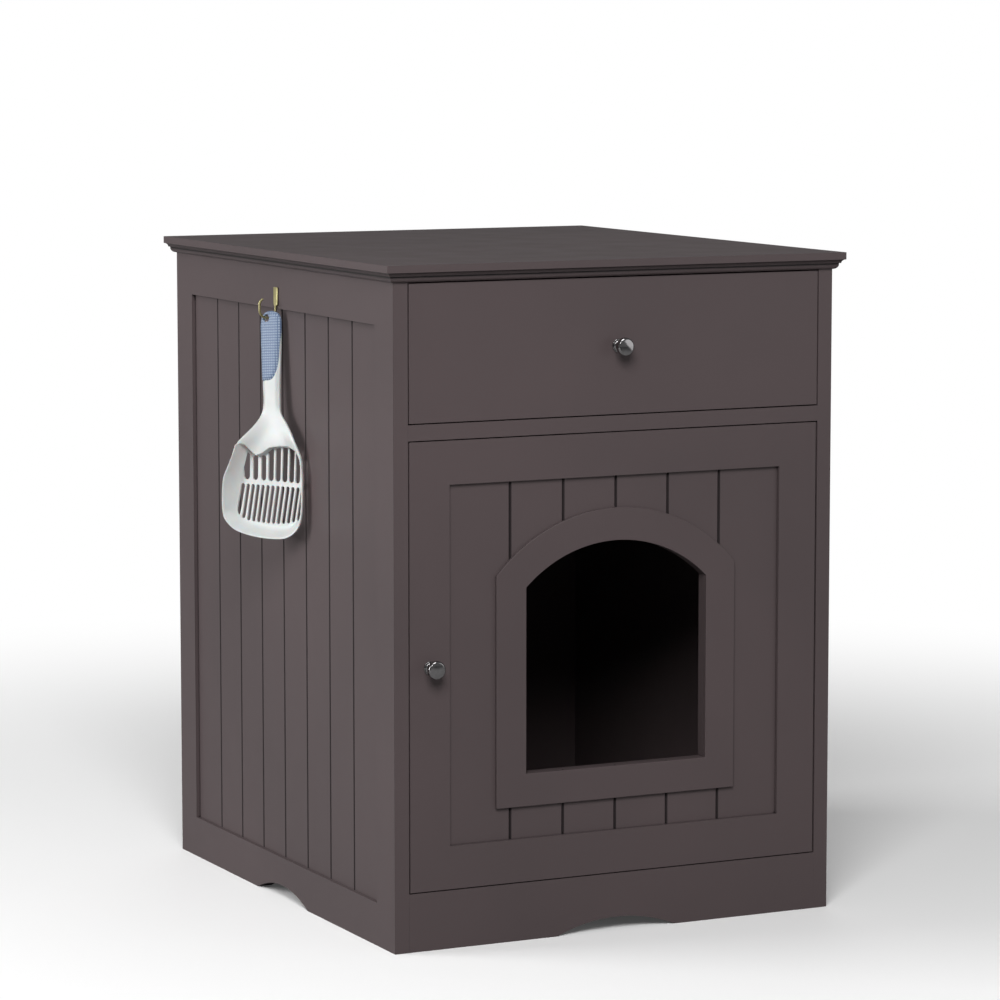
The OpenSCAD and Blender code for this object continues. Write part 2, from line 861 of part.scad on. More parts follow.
module catch_screws() {
    placed(steel_colour) at_catch_screws()
        translate([0, 0, -catch_h]) flush_screw(catch_h + catch_screw_len());
}

module strike_plate() {
    placed(steel_colour)
        difference() {
            block([catch_x - magnet_w / 2 - 6, board_t, magnet_z - 2],
                [catch_x + magnet_w / 2 + 6, board_t + plate_t, magnet_z + magnet_h + 2]);
            at_strike_screws() translate([0, 0, -eps]) cylinder(r = screw_r + fit, h = plate_t + 2 * eps);
        }
}

// Small screws with a thin head; the magnet stands clear between them
module strike_screws() {
    placed(steel_colour) at_strike_screws() {
        translate([0, 0, -catch_gap / 3]) cylinder(r = screw_r + 0.8, h = catch_gap / 3);
        cylinder(r = screw_r, h = plate_t + 8.5);
    }
}

// ---------- drawer ----------

module at_drawer_cams() {
    at_each_z(drawer_cam_zs) translate([drawer_mid, board_t, 0])
        rotate([90, 0, 0]) rotate([0, 0, -90]) children();
}

module at_drawer_back_screws() {
    at_each_z(drawer_cam_zs) translate([drawer_out, drawer_end - drawer_side_t / 2, 0])
        rotate([0, -90, 0]) children();
}

module drawer_bottom_space(gap) {
    low = drawer_z + bottom_up - gap;
    block([-drawer_in - bottom_bite - gap, board_t - bottom_bite - gap, low],
        [drawer_in + bottom_bite + gap, drawer_end + gap, low + drawer_bottom_t + 2 * gap]);
}

module drawer_front() {
    placed(board_colour)
        difference() {
            block([-front_w / 2, 0, drawer_front_z],
                [front_w / 2, board_t, drawer_front_z + drawer_front_h]);
            drawer_bottom_space(fit);
            both_sides() at_drawer_cams() cam_thread_hole(10);
            translate([0, 0, drawer_knob_z]) knob_hole();
        }
}

module drawer_side_right_solid() {
    difference() {
        block([drawer_in, board_t, drawer_z], [drawer_out, drawer_end, drawer_z + drawer_side_h]);
        drawer_bottom_space(fit);
        at_drawer_cams() {
            cam_bolt_hole();
            cam_pocket(drawer_side_t);
        }
        at_drawer_back_screws() flush_screw(drawer_side_t + eps, fit);
        at_runner_screws_drawer() screw_hole(runner_screw_len);
    }
}

module drawer_side_right() {
    placed(raw_colour) drawer_side_right_solid();
}

module drawer_side_left() {
    placed(raw_colour) mirror([1, 0, 0]) drawer_side_right_solid();
}

module drawer_back() {
    placed(raw_colour)
        difference() {
            block([-drawer_in, drawer_end - drawer_side_t, drawer_z + bottom_up + drawer_bottom_t + fit],
                [drawer_in, drawer_end, drawer_z + drawer_side_h]);
            both_sides() at_drawer_back_screws() screw_hole(drawer_back_screw_len());
        }
}

function drawer_back_screw_len() = 32;

module drawer_bottom() {
    placed(raw_colour) drawer_bottom_space(0);
}

module drawer_cam_locks() {
    placed(steel_colour) both_sides() at_drawer_cams() cam_lock(drawer_side_t);
}

module drawer_cam_bolts() {
    placed(steel_colour) both_sides() at_drawer_cams() cam_bolt(10);
}

module drawer_back_screws() {
    placed(steel_colour) both_sides()
        at_drawer_back_screws() flush_screw(drawer_back_screw_len());
}

// ---------- runners ----------

// Channel on the side panel, with the axle of the front roller
module cabinet_member() {
    difference() {
        union() {
            block([half_in - runner_t, member_y, runner_z],
                [half_in, member_y + runner_len, runner_z + runner_h]);
            block([half_in - runner_gap + 3.2, member_y, runner_z],
                [half_in, member_y + runner_len, runner_z + runner_t]);
            block([half_in - runner_gap + 4.5, member_y, runner_z + runner_h - runner_t],
                [half_in, member_y + runner_len, runner_z + runner_h]);
            roller_axle(front_roller_y, front_roller_z, half_in - runner_t, -1);
        }
        at_runner_screws_cabinet() screw_hole(runner_t);
    }
}

// Angle under the drawer side, with the axle of the rear roller
module drawer_member() {
    from = board_t + 1;
    difference() {
        union() {
            block([drawer_out, from, drawer_z - runner_t],
                [drawer_out + runner_t, from + runner_len, flange_z + runner_t]);
            block([drawer_in, from, drawer_z - runner_t],
                [drawer_out + runner_t, from + runner_len, drawer_z]);
            block([drawer_out, from, flange_z],
                [half_in - runner_t - 1.2, from + runner_len, flange_z + runner_t]);
            roller_axle(rear_roller_y, rear_roller_z, drawer_out + runner_t, 1);
        }
        at_runner_screws_drawer() screw_hole(runner_t);
    }
}

// Axle along X from the web at x = web, with a head beyond the roller
module roller_axle(y, z, web, dir) {
    far = roller_x + dir * (roller_w / 2 + 0.2);
    head = 0.5;
    low = min(web, far + dir * head);
    translate([low, y, z]) rotate([0, 90, 0]) cylinder(r = axle_r, h = abs(far + dir * head - web));
    translate([dir > 0 ? far : far - head, y, z]) rotate([0, 90, 0])
        cylinder(r = axle_r + 1.5, h = head);
}

module roller(y, z) {
    translate([roller_x - roller_w / 2, y, z]) rotate([0, 90, 0])
        difference() {
            cylinder(r = roller_r, h = roller_w);
            translate([0, 0, -eps]) cylinder(r = axle_r + running_gap, h = roller_w + 2 * eps);
        }
}

module runner_right_cabinet() {
    placed(steel_colour) cabinet_member();
}

module runner_left_cabinet() {
    placed(steel_colour) mirror([1, 0, 0]) cabinet_member();
}

module runner_right_drawer() {
    placed(steel_colour) drawer_member();
}

module runner_left_drawer() {
    placed(steel_colour) mirror([1, 0, 0]) drawer_member();
}

module runner_screws_cabinet() {
    placed(steel_colour) both_sides() at_runner_screws_cabinet() flat_screw(runner_screw_len);
}

module runner_screws_drawer() {
    placed(steel_colour) both_sides() at_runner_screws_drawer() flat_screw(runner_screw_len);
}

module roller_right_front() {
    placed(nylon_colour) roller(front_roller_y, front_roller_z);
}

module roller_left_front() {
    placed(nylon_colour) mirror([1, 0, 0]) roller(front_roller_y, front_roller_z);
}

module roller_right_rear() {
    placed(nylon_colour) roller(rear_roller_y, rear_roller_z);
}

module roller_left_rear() {
    placed(nylon_colour) mirror([1, 0, 0]) roller(rear_roller_y, rear_roller_z);
}

// ---------- scoop and its hook ----------

// Bent wire in the XZ plane round a centre, from one angle over a sweep
module wire_bend(bend_r, start, sweep) {
    rotate([90, 0, 0]) rotate([0, 0, start]) rotate_extrude(angle = sweep)
        translate([bend_r, 0]) circle(r = hook_wire_r, $fn = 32);
}

module scoop_hook() {
    bend_z = hook_low_z + hook_bend_r;
    front_x = -hook_back_x - 2 * hook_bend_r - hook_run;
    placed(brass_colour) translate([0, hook_y, 0]) {
        block([-half_w - hook_plate_t, -hook_plate_w / 2, body_h - frame_w + 0.3],
            [-half_w, hook_plate_w / 2, body_h - frame_w + hook_plate_len]);
        translate([-hook_back_x, 0, bend_z]) cylinder(r = hook_wire_r, h = 4);
        translate([-hook_back_x - hook_bend_r, 0, bend_z]) wire_bend(hook_bend_r, 270, 90);
        translate([front_x + hook_bend_r, 0, hook_low_z]) rotate([0, 90, 0])
            cylinder(r = hook_wire_r, h = hook_run);
        translate([front_x + hook_bend_r, 0, bend_z]) wire_bend(hook_bend_r, 180, 90);
        translate([front_x, 0, bend_z]) cylinder(r = hook_wire_r, h = hook_leg);
        translate([front_x, 0, bend_z + hook_leg]) sphere(r = hook_wire_r + 0.1, $fn = 32);
        translate([front_x + hook_tip_r, 0, bend_z + hook_leg]) {
            wire_bend(hook_tip_r, 180 - hook_tip_turn, hook_tip_turn);
            translate([-hook_tip_r * cos(hook_tip_turn), 0, hook_tip_r * sin(hook_tip_turn)])
                sphere(r = hook_wire_r + 0.15, $fn = 32);
        }
    }
}

// Frame of the scoop: hanging hole at the origin, open side of the pan towards -Y
module hung(tint) {
    placed(tint) translate([-hang_x, hook_y, hook_low_z - hang_drop])
        rotate([0, 0, scoop_turn - 90])
            rotate([-scoop_lean, 0, 0])
                rotate([0, -scoop_tilt, 0])
                    children();
}

// Lays an outline of x and z over the depths from and to, measured towards -Y
module slab(from, to) {
    translate([0, -from, 0]) rotate([90, 0, 0]) linear_extrude(to - from) children();
}

// Handle, from a round top to the depth below, tapering to the neck
module handle_outline(inset, below) {
    wide = handle_w / 2 - inset;
    slim = neck_w / 2 - inset;
    shoulder_z = 7 - handle_w / 2;
    taper_z = -grip_len - 3;
    end_z = -handle_len - 2;
    intersection() {
        union() {
            hull() {
                translate([0, shoulder_z]) circle(r = wide);
                translate([-slim, taper_z]) square([2 * slim, 1]);
            }
            translate([-slim, end_z]) square([2 * slim, taper_z - end_z + 1]);
        }
        translate([-handle_w, -below]) square([2 * handle_w, below + handle_w]);
    }
}

// Radius that rounds the corners of the rim
rim_soft = 14;
// Corners of the rim, as shares of its half width and of its length
rim_shape = [[-0.6, 0.06], [-0.925, 0.42], [-1, 0.61], [-0.95, 0.78], [-0.78, 0.9],
    [-0.47, 0.965], [-0.04, 0.995], [0.43, 1], [0.7, 0.96], [0.89, 0.873], [0.985, 0.73],
    [1, 0.5], [0.97, 0.275], [0.855, 0.1], [0.62, 0], [-0.5, 0]];

module pan_outline(inset) {
    offset(r = rim_soft, $fn = 32) offset(delta = -rim_soft - inset)
        polygon([for (p = rim_shape) [pan_off + p.x * pan_w / 2, -pan_top - p.y * pan_len]]);
}

// The same, from a distance below its top
module pan_below(inset, drop) {
    intersection() {
        pan_outline(inset);
        translate([-pan_w, -pan_end]) square([2 * pan_w, pan_len - drop]);
    }
}

// Tongue of the shoulders that dips into the hollow
module tongue(grow) {
    translate([-1, -pan_top - brow_w]) {
        circle(r = tongue_r + grow);
        translate([-tongue_r - grow, 0]) square([2 * (tongue_r + grow), brow_w]);
    }
}

// Turns what belongs to the pan about the end of the handle
module skewed() {
    translate([0, -handle_len]) rotate(-pan_skew) translate([0, handle_len]) children();
}

module slot_row(middle, count, span, from, to, w, slant) {
    for (i = [0 : count - 1])
        translate([middle - span / 2 + span * i / (count - 1), -(from + to) / 2])
            rotate(-slant) square([w, to - from], center = true);
}

module pan_slots() {
    fine_to = pan_end - fine_slot_end;
    fine_from = fine_to - fine_slot_len;
    difference() {
        intersection() {
            pan_below(pan_slope + pan_t + 0.7, brow_w + 1.5);
            union() {
                slot_row(6.5, fine_slots, fine_row_w, fine_from, fine_to, fine_slot_w, 5);
                slot_row(9.5, coarse_slots, coarse_row_w, pan_top, fine_from - slot_bar,
                    coarse_slot_w, 0);
            }
        }
        tongue(1.5);
    }
}

module pan_shell() {
    brow_deep = pan_len * 0.3;
    difference() {
        union() {
            hull() {
                slab(-pan_t, 0.1 - pan_t) skewed() pan_outline(pan_slope);
                slab(pan_deep, pan_deep + 0.1) skewed() pan_outline(0);
            }
            hull() {
                slab(-handle_t + 1.2, 0.8) translate([-neck_w / 2 + 0.2, -handle_len - 1])
                    square([neck_w - 0.4, 4]);
                slab(pan_deep - pan_t, pan_deep) skewed()
                    intersection() {
                        pan_outline(0);
                        translate([-pan_w, -pan_top - brow_deep]) square([2 * pan_w, pan_len]);
                    }
            }
        }
        difference() {
            hull() {
                slab(0, 0.1) skewed() pan_below(pan_slope + pan_t, brow_w);
                slab(pan_deep, pan_deep + 0.5) skewed() pan_below(pan_t * 0.9, brow_w);
            }
            slab(-0.5, pan_deep + 1) skewed() tongue(0);
        }
    }
}

module scoop_pan() {
    hung(scoop_colour)
        difference() {
            translate([hang_off, 0, 0])
                difference() {
                    union() {
                        slab(-handle_t + 1, 1) handle_outline(1, handle_len + 2);
                        pan_shell();
                    }
                    translate([0, -pan_lip, -pan_end])
                        rotate([atan((pan_deep - 0.8 - pan_lip) / pan_len), 0, 0])
                            translate([-pan_w, -pan_w, -pan_len])
                                cube([2 * pan_w, pan_w, 2 * pan_len]);
                    slab(-pan_t - 1, 1) skewed() pan_slots();
                }
            slab(-handle_t, 2) circle(r = hang_r);
        }
}

module scoop_grip() {
    foot_r = neck_w * 0.42;
    hung(grip_colour)
        difference() {
            translate([hang_off, 0, 0]) slab(1, 1 + grip_t)
                intersection() {
                    handle_outline(0, grip_len);
                    hull() {
                        translate([-handle_w, 0]) square([2 * handle_w, handle_w]);
                        translate([-handle_w, -grip_len]) square([handle_w, foot_r]);
                        translate([0, foot_r - grip_len]) circle(r = foot_r);
                        translate([handle_w / 2, -foot_r * 2]) circle(r = 1);
                    }
                }
            slab(0, 1 + grip_t + eps) circle(r = hang_r);
        }
}

side_panel_left();
side_panel_right();
top_board();
divider_shelf();
floor_board();
back_board();
front_apron();
wood_dowels();
cam_locks();
cam_bolts();
back_screws();
pivot_bush_lower();
pivot_bush_upper();
catch_housing();
catch_magnet();
catch_screws();
runner_left_cabinet();
runner_right_cabinet();
runner_screws_cabinet();
roller_left_front();
roller_right_front();
scoop_hook();
door_panel();
entrance_casing();
door_knob();
door_knob_screw();
pivot_pin_lower();
pivot_pin_upper();
strike_plate();
strike_screws();
drawer_front();
drawer_side_left();
drawer_side_right();
drawer_back();
drawer_bottom();
drawer_knob();
drawer_knob_screw();
drawer_cam_locks();
drawer_cam_bolts();
drawer_back_screws();
runner_left_drawer();
runner_right_drawer();
runner_screws_drawer();
roller_left_rear();
roller_right_rear();
scoop_pan();
scoop_grip();
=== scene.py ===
import bpy
import json
import math
import numpy
from mathutils import Euler, Matrix, Vector

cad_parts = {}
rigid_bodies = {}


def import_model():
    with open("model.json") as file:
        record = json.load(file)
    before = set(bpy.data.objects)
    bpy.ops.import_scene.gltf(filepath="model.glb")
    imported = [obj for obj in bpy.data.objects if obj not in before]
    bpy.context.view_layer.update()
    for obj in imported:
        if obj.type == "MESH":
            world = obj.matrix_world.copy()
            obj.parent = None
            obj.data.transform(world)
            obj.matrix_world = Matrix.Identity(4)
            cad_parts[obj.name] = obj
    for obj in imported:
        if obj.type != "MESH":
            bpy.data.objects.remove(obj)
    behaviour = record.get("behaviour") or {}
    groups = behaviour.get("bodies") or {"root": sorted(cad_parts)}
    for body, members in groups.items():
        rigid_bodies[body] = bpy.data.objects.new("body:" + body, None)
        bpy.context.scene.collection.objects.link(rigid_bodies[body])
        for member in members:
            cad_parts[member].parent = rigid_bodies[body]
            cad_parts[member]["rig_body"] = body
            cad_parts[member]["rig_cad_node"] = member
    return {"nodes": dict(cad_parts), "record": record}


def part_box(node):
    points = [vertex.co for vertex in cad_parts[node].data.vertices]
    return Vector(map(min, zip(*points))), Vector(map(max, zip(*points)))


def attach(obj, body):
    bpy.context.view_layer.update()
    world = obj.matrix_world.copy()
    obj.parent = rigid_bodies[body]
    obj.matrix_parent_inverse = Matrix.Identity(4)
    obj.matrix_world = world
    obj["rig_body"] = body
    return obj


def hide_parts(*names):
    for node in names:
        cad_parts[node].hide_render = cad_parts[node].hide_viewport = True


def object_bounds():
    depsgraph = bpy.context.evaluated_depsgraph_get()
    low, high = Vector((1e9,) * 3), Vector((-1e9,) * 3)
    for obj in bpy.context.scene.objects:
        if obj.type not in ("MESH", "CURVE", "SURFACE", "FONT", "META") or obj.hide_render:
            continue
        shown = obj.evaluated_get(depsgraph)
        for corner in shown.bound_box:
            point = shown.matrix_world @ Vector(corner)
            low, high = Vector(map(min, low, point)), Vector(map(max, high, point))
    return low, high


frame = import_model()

cadLow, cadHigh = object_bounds()
nodes = frame["nodes"]
bodyOf = {}
for bodyName, members in frame["record"]["behaviour"]["bodies"].items():
    for member in members:
        bodyOf[member] = bodyName
mm = 0.001
# points closer than this are one, and so are faces nearer to one plane than this
weld = 0.002 * mm
nearlyFlat = math.radians(0.5)


# ---- small tools ----

def toLinear(hexColour):
    values = [int(hexColour[i:i + 2], 16) / 255 for i in (1, 3, 5)]
    linear = [v / 12.92 if v <= 0.04045 else ((v + 0.055) / 1.055) ** 2.4 for v in values]
    return (*linear, 1.0)


def deselectAll():
    if bpy.context.object and bpy.context.object.mode != "OBJECT":
        bpy.ops.object.mode_set(mode="OBJECT")
    bpy.ops.object.select_all(action="DESELECT")


def makeActive(obj):
    deselectAll()
    obj.select_set(True)
    bpy.context.view_layer.objects.active = obj
    return obj


def applyPlace(obj):
    makeActive(obj)
    bpy.ops.object.transform_apply(location=True, rotation=True, scale=True)
    return obj


def addModifier(obj, kind, **settings):
    makeActive(obj)
    bpy.ops.object.modifier_add(type=kind)
    modifier = obj.modifiers[-1]
    for key, value in settings.items():
        setattr(modifier, key, value)
    bpy.ops.object.modifier_apply(modifier=modifier.name)


def shadeByAngle(obj, degrees):
    makeActive(obj)
    bpy.ops.object.shade_smooth_by_angle(angle=math.radians(degrees))
    addModifier(obj, "WEIGHTED_NORMAL", weight=80, keep_sharp=True)


def meshPiece(points, faces, name):
    mesh = bpy.data.meshes.new(name)
    mesh.from_pydata([tuple(p) for p in points], [], faces)
    mesh.validate()
    piece = bpy.data.objects.new(name, mesh)
    bpy.context.scene.collection.objects.link(piece)
    return makeActive(piece)


def outward(obj):
    makeActive(obj)
    bpy.ops.object.mode_set(mode="EDIT")
    bpy.ops.mesh.select_all(action="SELECT")
    bpy.ops.mesh.remove_doubles(threshold=weld)
    bpy.ops.mesh.normals_make_consistent(inside=False)
    bpy.ops.object.mode_set(mode="OBJECT")
    return obj


def cutWith(obj, cutter, how="DIFFERENCE"):
    addModifier(obj, "BOOLEAN", operation=how, object=cutter, solver="EXACT")
    bpy.data.objects.remove(cutter)


def finishPiece(obj, name, body, material, replaced=()):
    obj.name = name
    obj.data.name = name
    obj.data.materials.clear()
    obj.data.materials.append(material)
    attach(obj, body)
    if replaced:
        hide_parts(*replaced)


# ---- materials ----

def addNode(tree, kind, settings=None, links=None):
    # settings: names of the node or of its inputs; links: input name to (node, output name)
    node = tree.nodes.new(kind)
    for key, value in (settings or {}).items():
        if isinstance(key, str) and hasattr(node, key):
            setattr(node, key, value)
        else:
            node.inputs[key].default_value = value
    for key, (source, output) in (links or {}).items():
        tree.links.new(source.outputs[output], node.inputs[key])
    return node


def newMaterial(name, shaderSettings):
    material = bpy.data.materials.new(name)
    material.use_nodes = True
    tree = material.node_tree
    shader = tree.nodes["Principled BSDF"]
    for key, value in shaderSettings.items():
        shader.inputs[key].default_value = value
    place = addNode(tree, "ShaderNodeTexCoord")
    return material, tree, shader, place


def noise(tree, source, output, scale, detail):
    return addNode(tree, "ShaderNodeTexNoise", {"Scale": scale, "Detail": detail},
                   {"Vector": (source, output)})


def tintBetween(tree, factor, output, low, high):
    spread = addNode(tree, "ShaderNodeMapRange",
                     {"From Min": 0.35, "From Max": 0.65}, {"Value": (factor, output)})
    return addNode(tree, "ShaderNodeMix",
                   {"data_type": "RGBA", 6: toLinear(low), 7: toLinear(high)}, {0: (spread, 0)})


def roughBetween(tree, shader, factor, output, low, high):
    spread = addNode(tree, "ShaderNodeMapRange",
                     {"From Min": 0.3, "From Max": 0.7, "To Min": low, "To Max": high},
                     {"Value": (factor, output)})
    tree.links.new(spread.outputs[0], shader.inputs["Roughness"])


def bumpFrom(tree, shader, height, output, depth):
    bump = addNode(tree, "ShaderNodeBump", {"Distance": depth, "Strength": 1.0},
                   {"Height": (height, output)})
    tree.links.new(bump.outputs["Normal"], shader.inputs["Normal"])


# scales are counted per metre; each coat darkens towards one colour of painted shade in inner
# corners; reach: how far a corner darkens the coat; open: occlusion at which the painted shade is
# full and at which it is gone
lacquer = {"rough": (0.42, 0.46), "sheen": 0.25, "drift": 4.0, "patches": 25.0,
           "peel": 2.5 * mm, "depth": 0.012 * mm, "thin": "#100d0e",
           "face": {"low": "#4e4546", "high": "#524849", "reach": 3 * mm, "open": (0.28, 0.66)},
           # groove: a darker coat, painted shade on the walls of the V grooves
           "groove": {"low": "#2a2526", "high": "#2d2829", "reach": 3 * mm, "open": (0.1, 0.5)},
           # edge: wide reach, painted shade deep in the coves of the routed edge
           "edge": {"low": "#4e4546", "high": "#524849", "reach": 18 * mm, "open": (0.78, 1.0)}}


def sprayedLacquer(name, coat):
    # MDF with sprayed satin lacquer: even colour, soft sheen, a faint orange peel; the colour also
    # carries painted shade, darker in inner corners
    material, tree, shader, place = newMaterial(name, {"Specular IOR Level": lacquer["sheen"]})
    drift = noise(tree, place, "Object", lacquer["drift"], 3.0)
    tint = tintBetween(tree, drift, "Fac", coat["low"], coat["high"])
    # painted shade: the colour darkens towards the painted shade colour in inner corners, grooves
    # and coves, as far as ambient occlusion reaches
    corner = addNode(tree, "ShaderNodeAmbientOcclusion",
                     {"samples": 8, "only_local": True, "Distance": coat["reach"]})
    full = addNode(tree, "ShaderNodeMapRange",
                   {"From Min": coat["open"][0], "From Max": coat["open"][1]},
                   {"Value": (corner, "AO")})
    # mix of the painted shade colour and the coat's own tint
    shadedCoat = addNode(tree, "ShaderNodeMix", {"data_type": "RGBA", 6: toLinear(lacquer["thin"])},
                    {0: (full, 0), 7: (tint, 2)})
    tree.links.new(shadedCoat.outputs[2], shader.inputs["Base Color"])
    patches = noise(tree, place, "Object", lacquer["patches"], 2.0)
    roughBetween(tree, shader, patches, "Fac", *lacquer["rough"])
    peel = noise(tree, place, "Object", 1 / lacquer["peel"], 1.0)
    bumpFrom(tree, shader, peel, "Fac", lacquer["depth"])
    return material


# stretch: how much denser the grain lies along x, y and z
foilLook = {"stretch": (60.0, 6.0, 240.0), "scale": 3.0, "low": "#554c4c", "high": "#5e5555",
            "rough": (0.5, 0.6), "depth": 0.02 * mm}


def drawerFoil():
    # particle board in matt paper foil, printed with a very fine grain
    material, tree, shader, place = newMaterial("paper foil on particle board", {})
    stretch = addNode(tree, "ShaderNodeMapping", {"Scale": foilLook["stretch"]},
                      {"Vector": (place, "Object")})
    grain = noise(tree, stretch, 0, foilLook["scale"], 6.0)
    tint = tintBetween(tree, grain, "Fac", foilLook["low"], foilLook["high"])
    tree.links.new(tint.outputs[2], shader.inputs["Base Color"])
    roughBetween(tree, shader, grain, "Fac", *foilLook["rough"])
    bumpFrom(tree, shader, grain, "Fac", foilLook["depth"])
    return material


beechLook = {"stretch": (40.0, 900.0, 900.0), "low": "#b8915f", "high": "#d3b184", "rough": 0.6}


def beechDowel():
    # turned beech: pale, with short brown flecks along the grain
    material, tree, shader, place = newMaterial("turned beech", {"Roughness": beechLook["rough"]})
    stretch = addNode(tree, "ShaderNodeMapping", {"Scale": beechLook["stretch"]},
                      {"Vector": (place, "Object")})
    grain = noise(tree, stretch, 0, 1.0, 5.0)
    tint = tintBetween(tree, grain, "Fac", beechLook["low"], beechLook["high"])
    tree.links.new(tint.outputs[2], shader.inputs["Base Color"])
    return material


def metal(name, low, high, rough, scale, detail):
    # bare or plated metal: faint blotches of tone and of gloss
    material, tree, shader, place = newMaterial(name, {"Metallic": 1.0})
    blotch = noise(tree, place, "Object", scale, detail)
    tint = tintBetween(tree, blotch, "Fac", low, high)
    tree.links.new(tint.outputs[2], shader.inputs["Base Color"])
    roughBetween(tree, shader, blotch, "Fac", *rough)
    return material


powder = {"colour": "#dedcd2", "dimple": 1.2 * mm, "rough": (0.28, 0.36), "depth": 0.01 * mm}


def powderCoat():
    # steel strip with cream powder coat: glossy with a fine dimple
    material, tree, shader, place = newMaterial("cream powder coat on steel",
                                                {"Base Color": toLinear(powder["colour"])})
    dimple = noise(tree, place, "Object", 1 / powder["dimple"], 1.0)
    roughBetween(tree, shader, dimple, "Fac", *powder["rough"])
    bumpFrom(tree, shader, dimple, "Fac", powder["depth"])
    return material


ferriteLook = {"grit": 0.6 * mm, "low": "#343436", "high": "#404042", "rough": (0.6, 0.75),
               "depth": 0.02 * mm}


def sinteredFerrite():
    # pressed and fired ferrite: dark grey, dry and slightly grainy
    material, tree, shader, place = newMaterial("sintered ferrite", {})
    grit = noise(tree, place, "Object", 1 / ferriteLook["grit"], 4.0)
    tint = tintBetween(tree, grit, "Fac", ferriteLook["low"], ferriteLook["high"])
    tree.links.new(tint.outputs[2], shader.inputs["Base Color"])
    roughBetween(tree, shader, grit, "Fac", *ferriteLook["rough"])
    bumpFrom(tree, shader, grit, "Fac", ferriteLook["depth"])
    return material


# scale of the flow shade, counted per metre
flowScale = 30.0


def mouldedPlastic(name, low, high, rough, grit, depth, extra=None):
    # injection moulded: one colour with a slight flow shade, and the mould's own fine skin
    material, tree, shader, place = newMaterial(name, extra or {})
    flow = noise(tree, place, "Object", flowScale, 2.0)
    tint = tintBetween(tree, flow, "Fac", low, high)
    tree.links.new(tint.outputs[2], shader.inputs["Base Color"])
    skin = noise(tree, place, "Object", 1 / grit, 2.0)
    roughBetween(tree, shader, skin, "Fac", *rough)
    bumpFrom(tree, shader, skin, "Fac", depth)
    return material


# foot and top: distance from a dot's centre, in pitches, at which it starts and ends to rise
dots = {"pitch": 2.6 * mm, "foot": 0.46, "top": 0.26, "ground": "#5c6d89", "dot": "#8c9aad",
        "depth": 0.25 * mm, "skin": 0.5 * mm, "rough": (0.5, 0.62)}


def dottedRubber():
    # soft rubber moulded on, with small raised dots in even rows
    material, tree, shader, place = newMaterial("moulded soft rubber with dots", {})
    spots = addNode(tree, "ShaderNodeTexVoronoi",
                    {"voronoi_dimensions": "2D", "Scale": 1 / dots["pitch"], "Randomness": 0.0},
                    {"Vector": (place, "UV")})
    rise = addNode(tree, "ShaderNodeMapRange",
                   {"interpolation_type": "SMOOTHSTEP", "From Min": dots["foot"],
                    "From Max": dots["top"]},
                   {"Value": (spots, "Distance")})
    tint = addNode(tree, "ShaderNodeMix",
                   {"data_type": "RGBA", 6: toLinear(dots["ground"]), 7: toLinear(dots["dot"])},
                   {0: (rise, 0)})
    tree.links.new(tint.outputs[2], shader.inputs["Base Color"])
    skin = noise(tree, place, "Object", 1 / dots["skin"], 2.0)
    roughBetween(tree, shader, skin, "Fac", *dots["rough"])
    bumpFrom(tree, shader, rise, 0, dots["depth"])
    return material


paint = sprayedLacquer("satin lacquer on MDF with painted corner shade", lacquer["face"])
# the groove walls get a darker coat: painted shade in the grooves
grooveShadePaint = sprayedLacquer("thin lacquer in routed grooves", lacquer["groove"])
# the routed top board's coat paints shade deep into its coves
coveShadePaint = sprayedLacquer("satin lacquer with painted shade in routed coves", lacquer["edge"])
foil = drawerFoil()
beech = beechDowel()
# rolled steel with a bright zinc plating: cool grey, slightly blotched sheen
zinc = metal("bright zinc plated steel", low="#a9adb1", high="#bcc0c3", rough=(0.28, 0.42),
             scale=220.0, detail=3.0)
cream = powderCoat()
ferrite = sinteredFerrite()
darkNylon = mouldedPlastic("moulded dark nylon", low="#302d2f", high="#363335",
                           rough=(0.4, 0.52), grit=0.8 * mm, depth=0.008 * mm)
nylon = mouldedPlastic("moulded nylon", low="#e4e2d8", high="#ebe9e1", rough=(0.38, 0.5),
                       grit=0.8 * mm, depth=0.008 * mm)
# cast, polished and plated: mirror-like, with hardly visible polishing waves
chrome = metal("dark nickel on a zinc casting", low="#8f8d8e", high="#999798",
               rough=(0.07, 0.12), scale=1 / (6.0 * mm), detail=2.0)
# drawn and hammered, then dulled by age
brass = metal("aged brass wire", low="#b2ab7d", high="#bdb588", rough=(0.42, 0.52),
              scale=1 / (6.0 * mm), detail=2.0)
whitePlastic = mouldedPlastic("moulded polypropylene", low="#b4b7b6", high="#bbbebd",
                              rough=(0.34, 0.44), grit=0.7 * mm, depth=0.006 * mm,
                              extra={"Subsurface Weight": 0.3, "Subsurface Scale": 3 * mm})
softGrip = dottedRubber()
print("materials made")

slotMaterial = {"paint": paint, "drawer_board": foil, "dowel_wood": beech, "zinc_steel": zinc,
                "runner_steel": cream, "ferrite": ferrite, "nylon": nylon, "dark_nylon": darkNylon,
                "chrome": chrome, "brass": brass, "scoop_plastic": whitePlastic,
                "grip_rubber": softGrip}
slotOf = {part["node"]: part["material_slot"] for part in frame["record"]["subparts"]}
for nodeName, node in nodes.items():
    node.data.materials.clear()
    node.data.materials.append(slotMaterial[slotOf[nodeName]])


# ---- boards: the CAD shapes with eased edges ----

# askew: least product of a groove wall's turns away from the front and from the side
boards = {"edge": 0.6 * mm, "fineEdge": 0.25 * mm, "rings": 2, "askew": 0.3,
          "grooved": ["side_panel_left", "side_panel_right", "door_panel"],
          "routed": "top_board",
          "names": ["side_panel_left", "side_panel_right", "top_board", "divider_shelf",
                    "front_apron", "drawer_front", "door_panel", "entrance_casing",
                    "floor_board", "back_board", "drawer_side_left", "drawer_side_right",
                    "drawer_back"]}


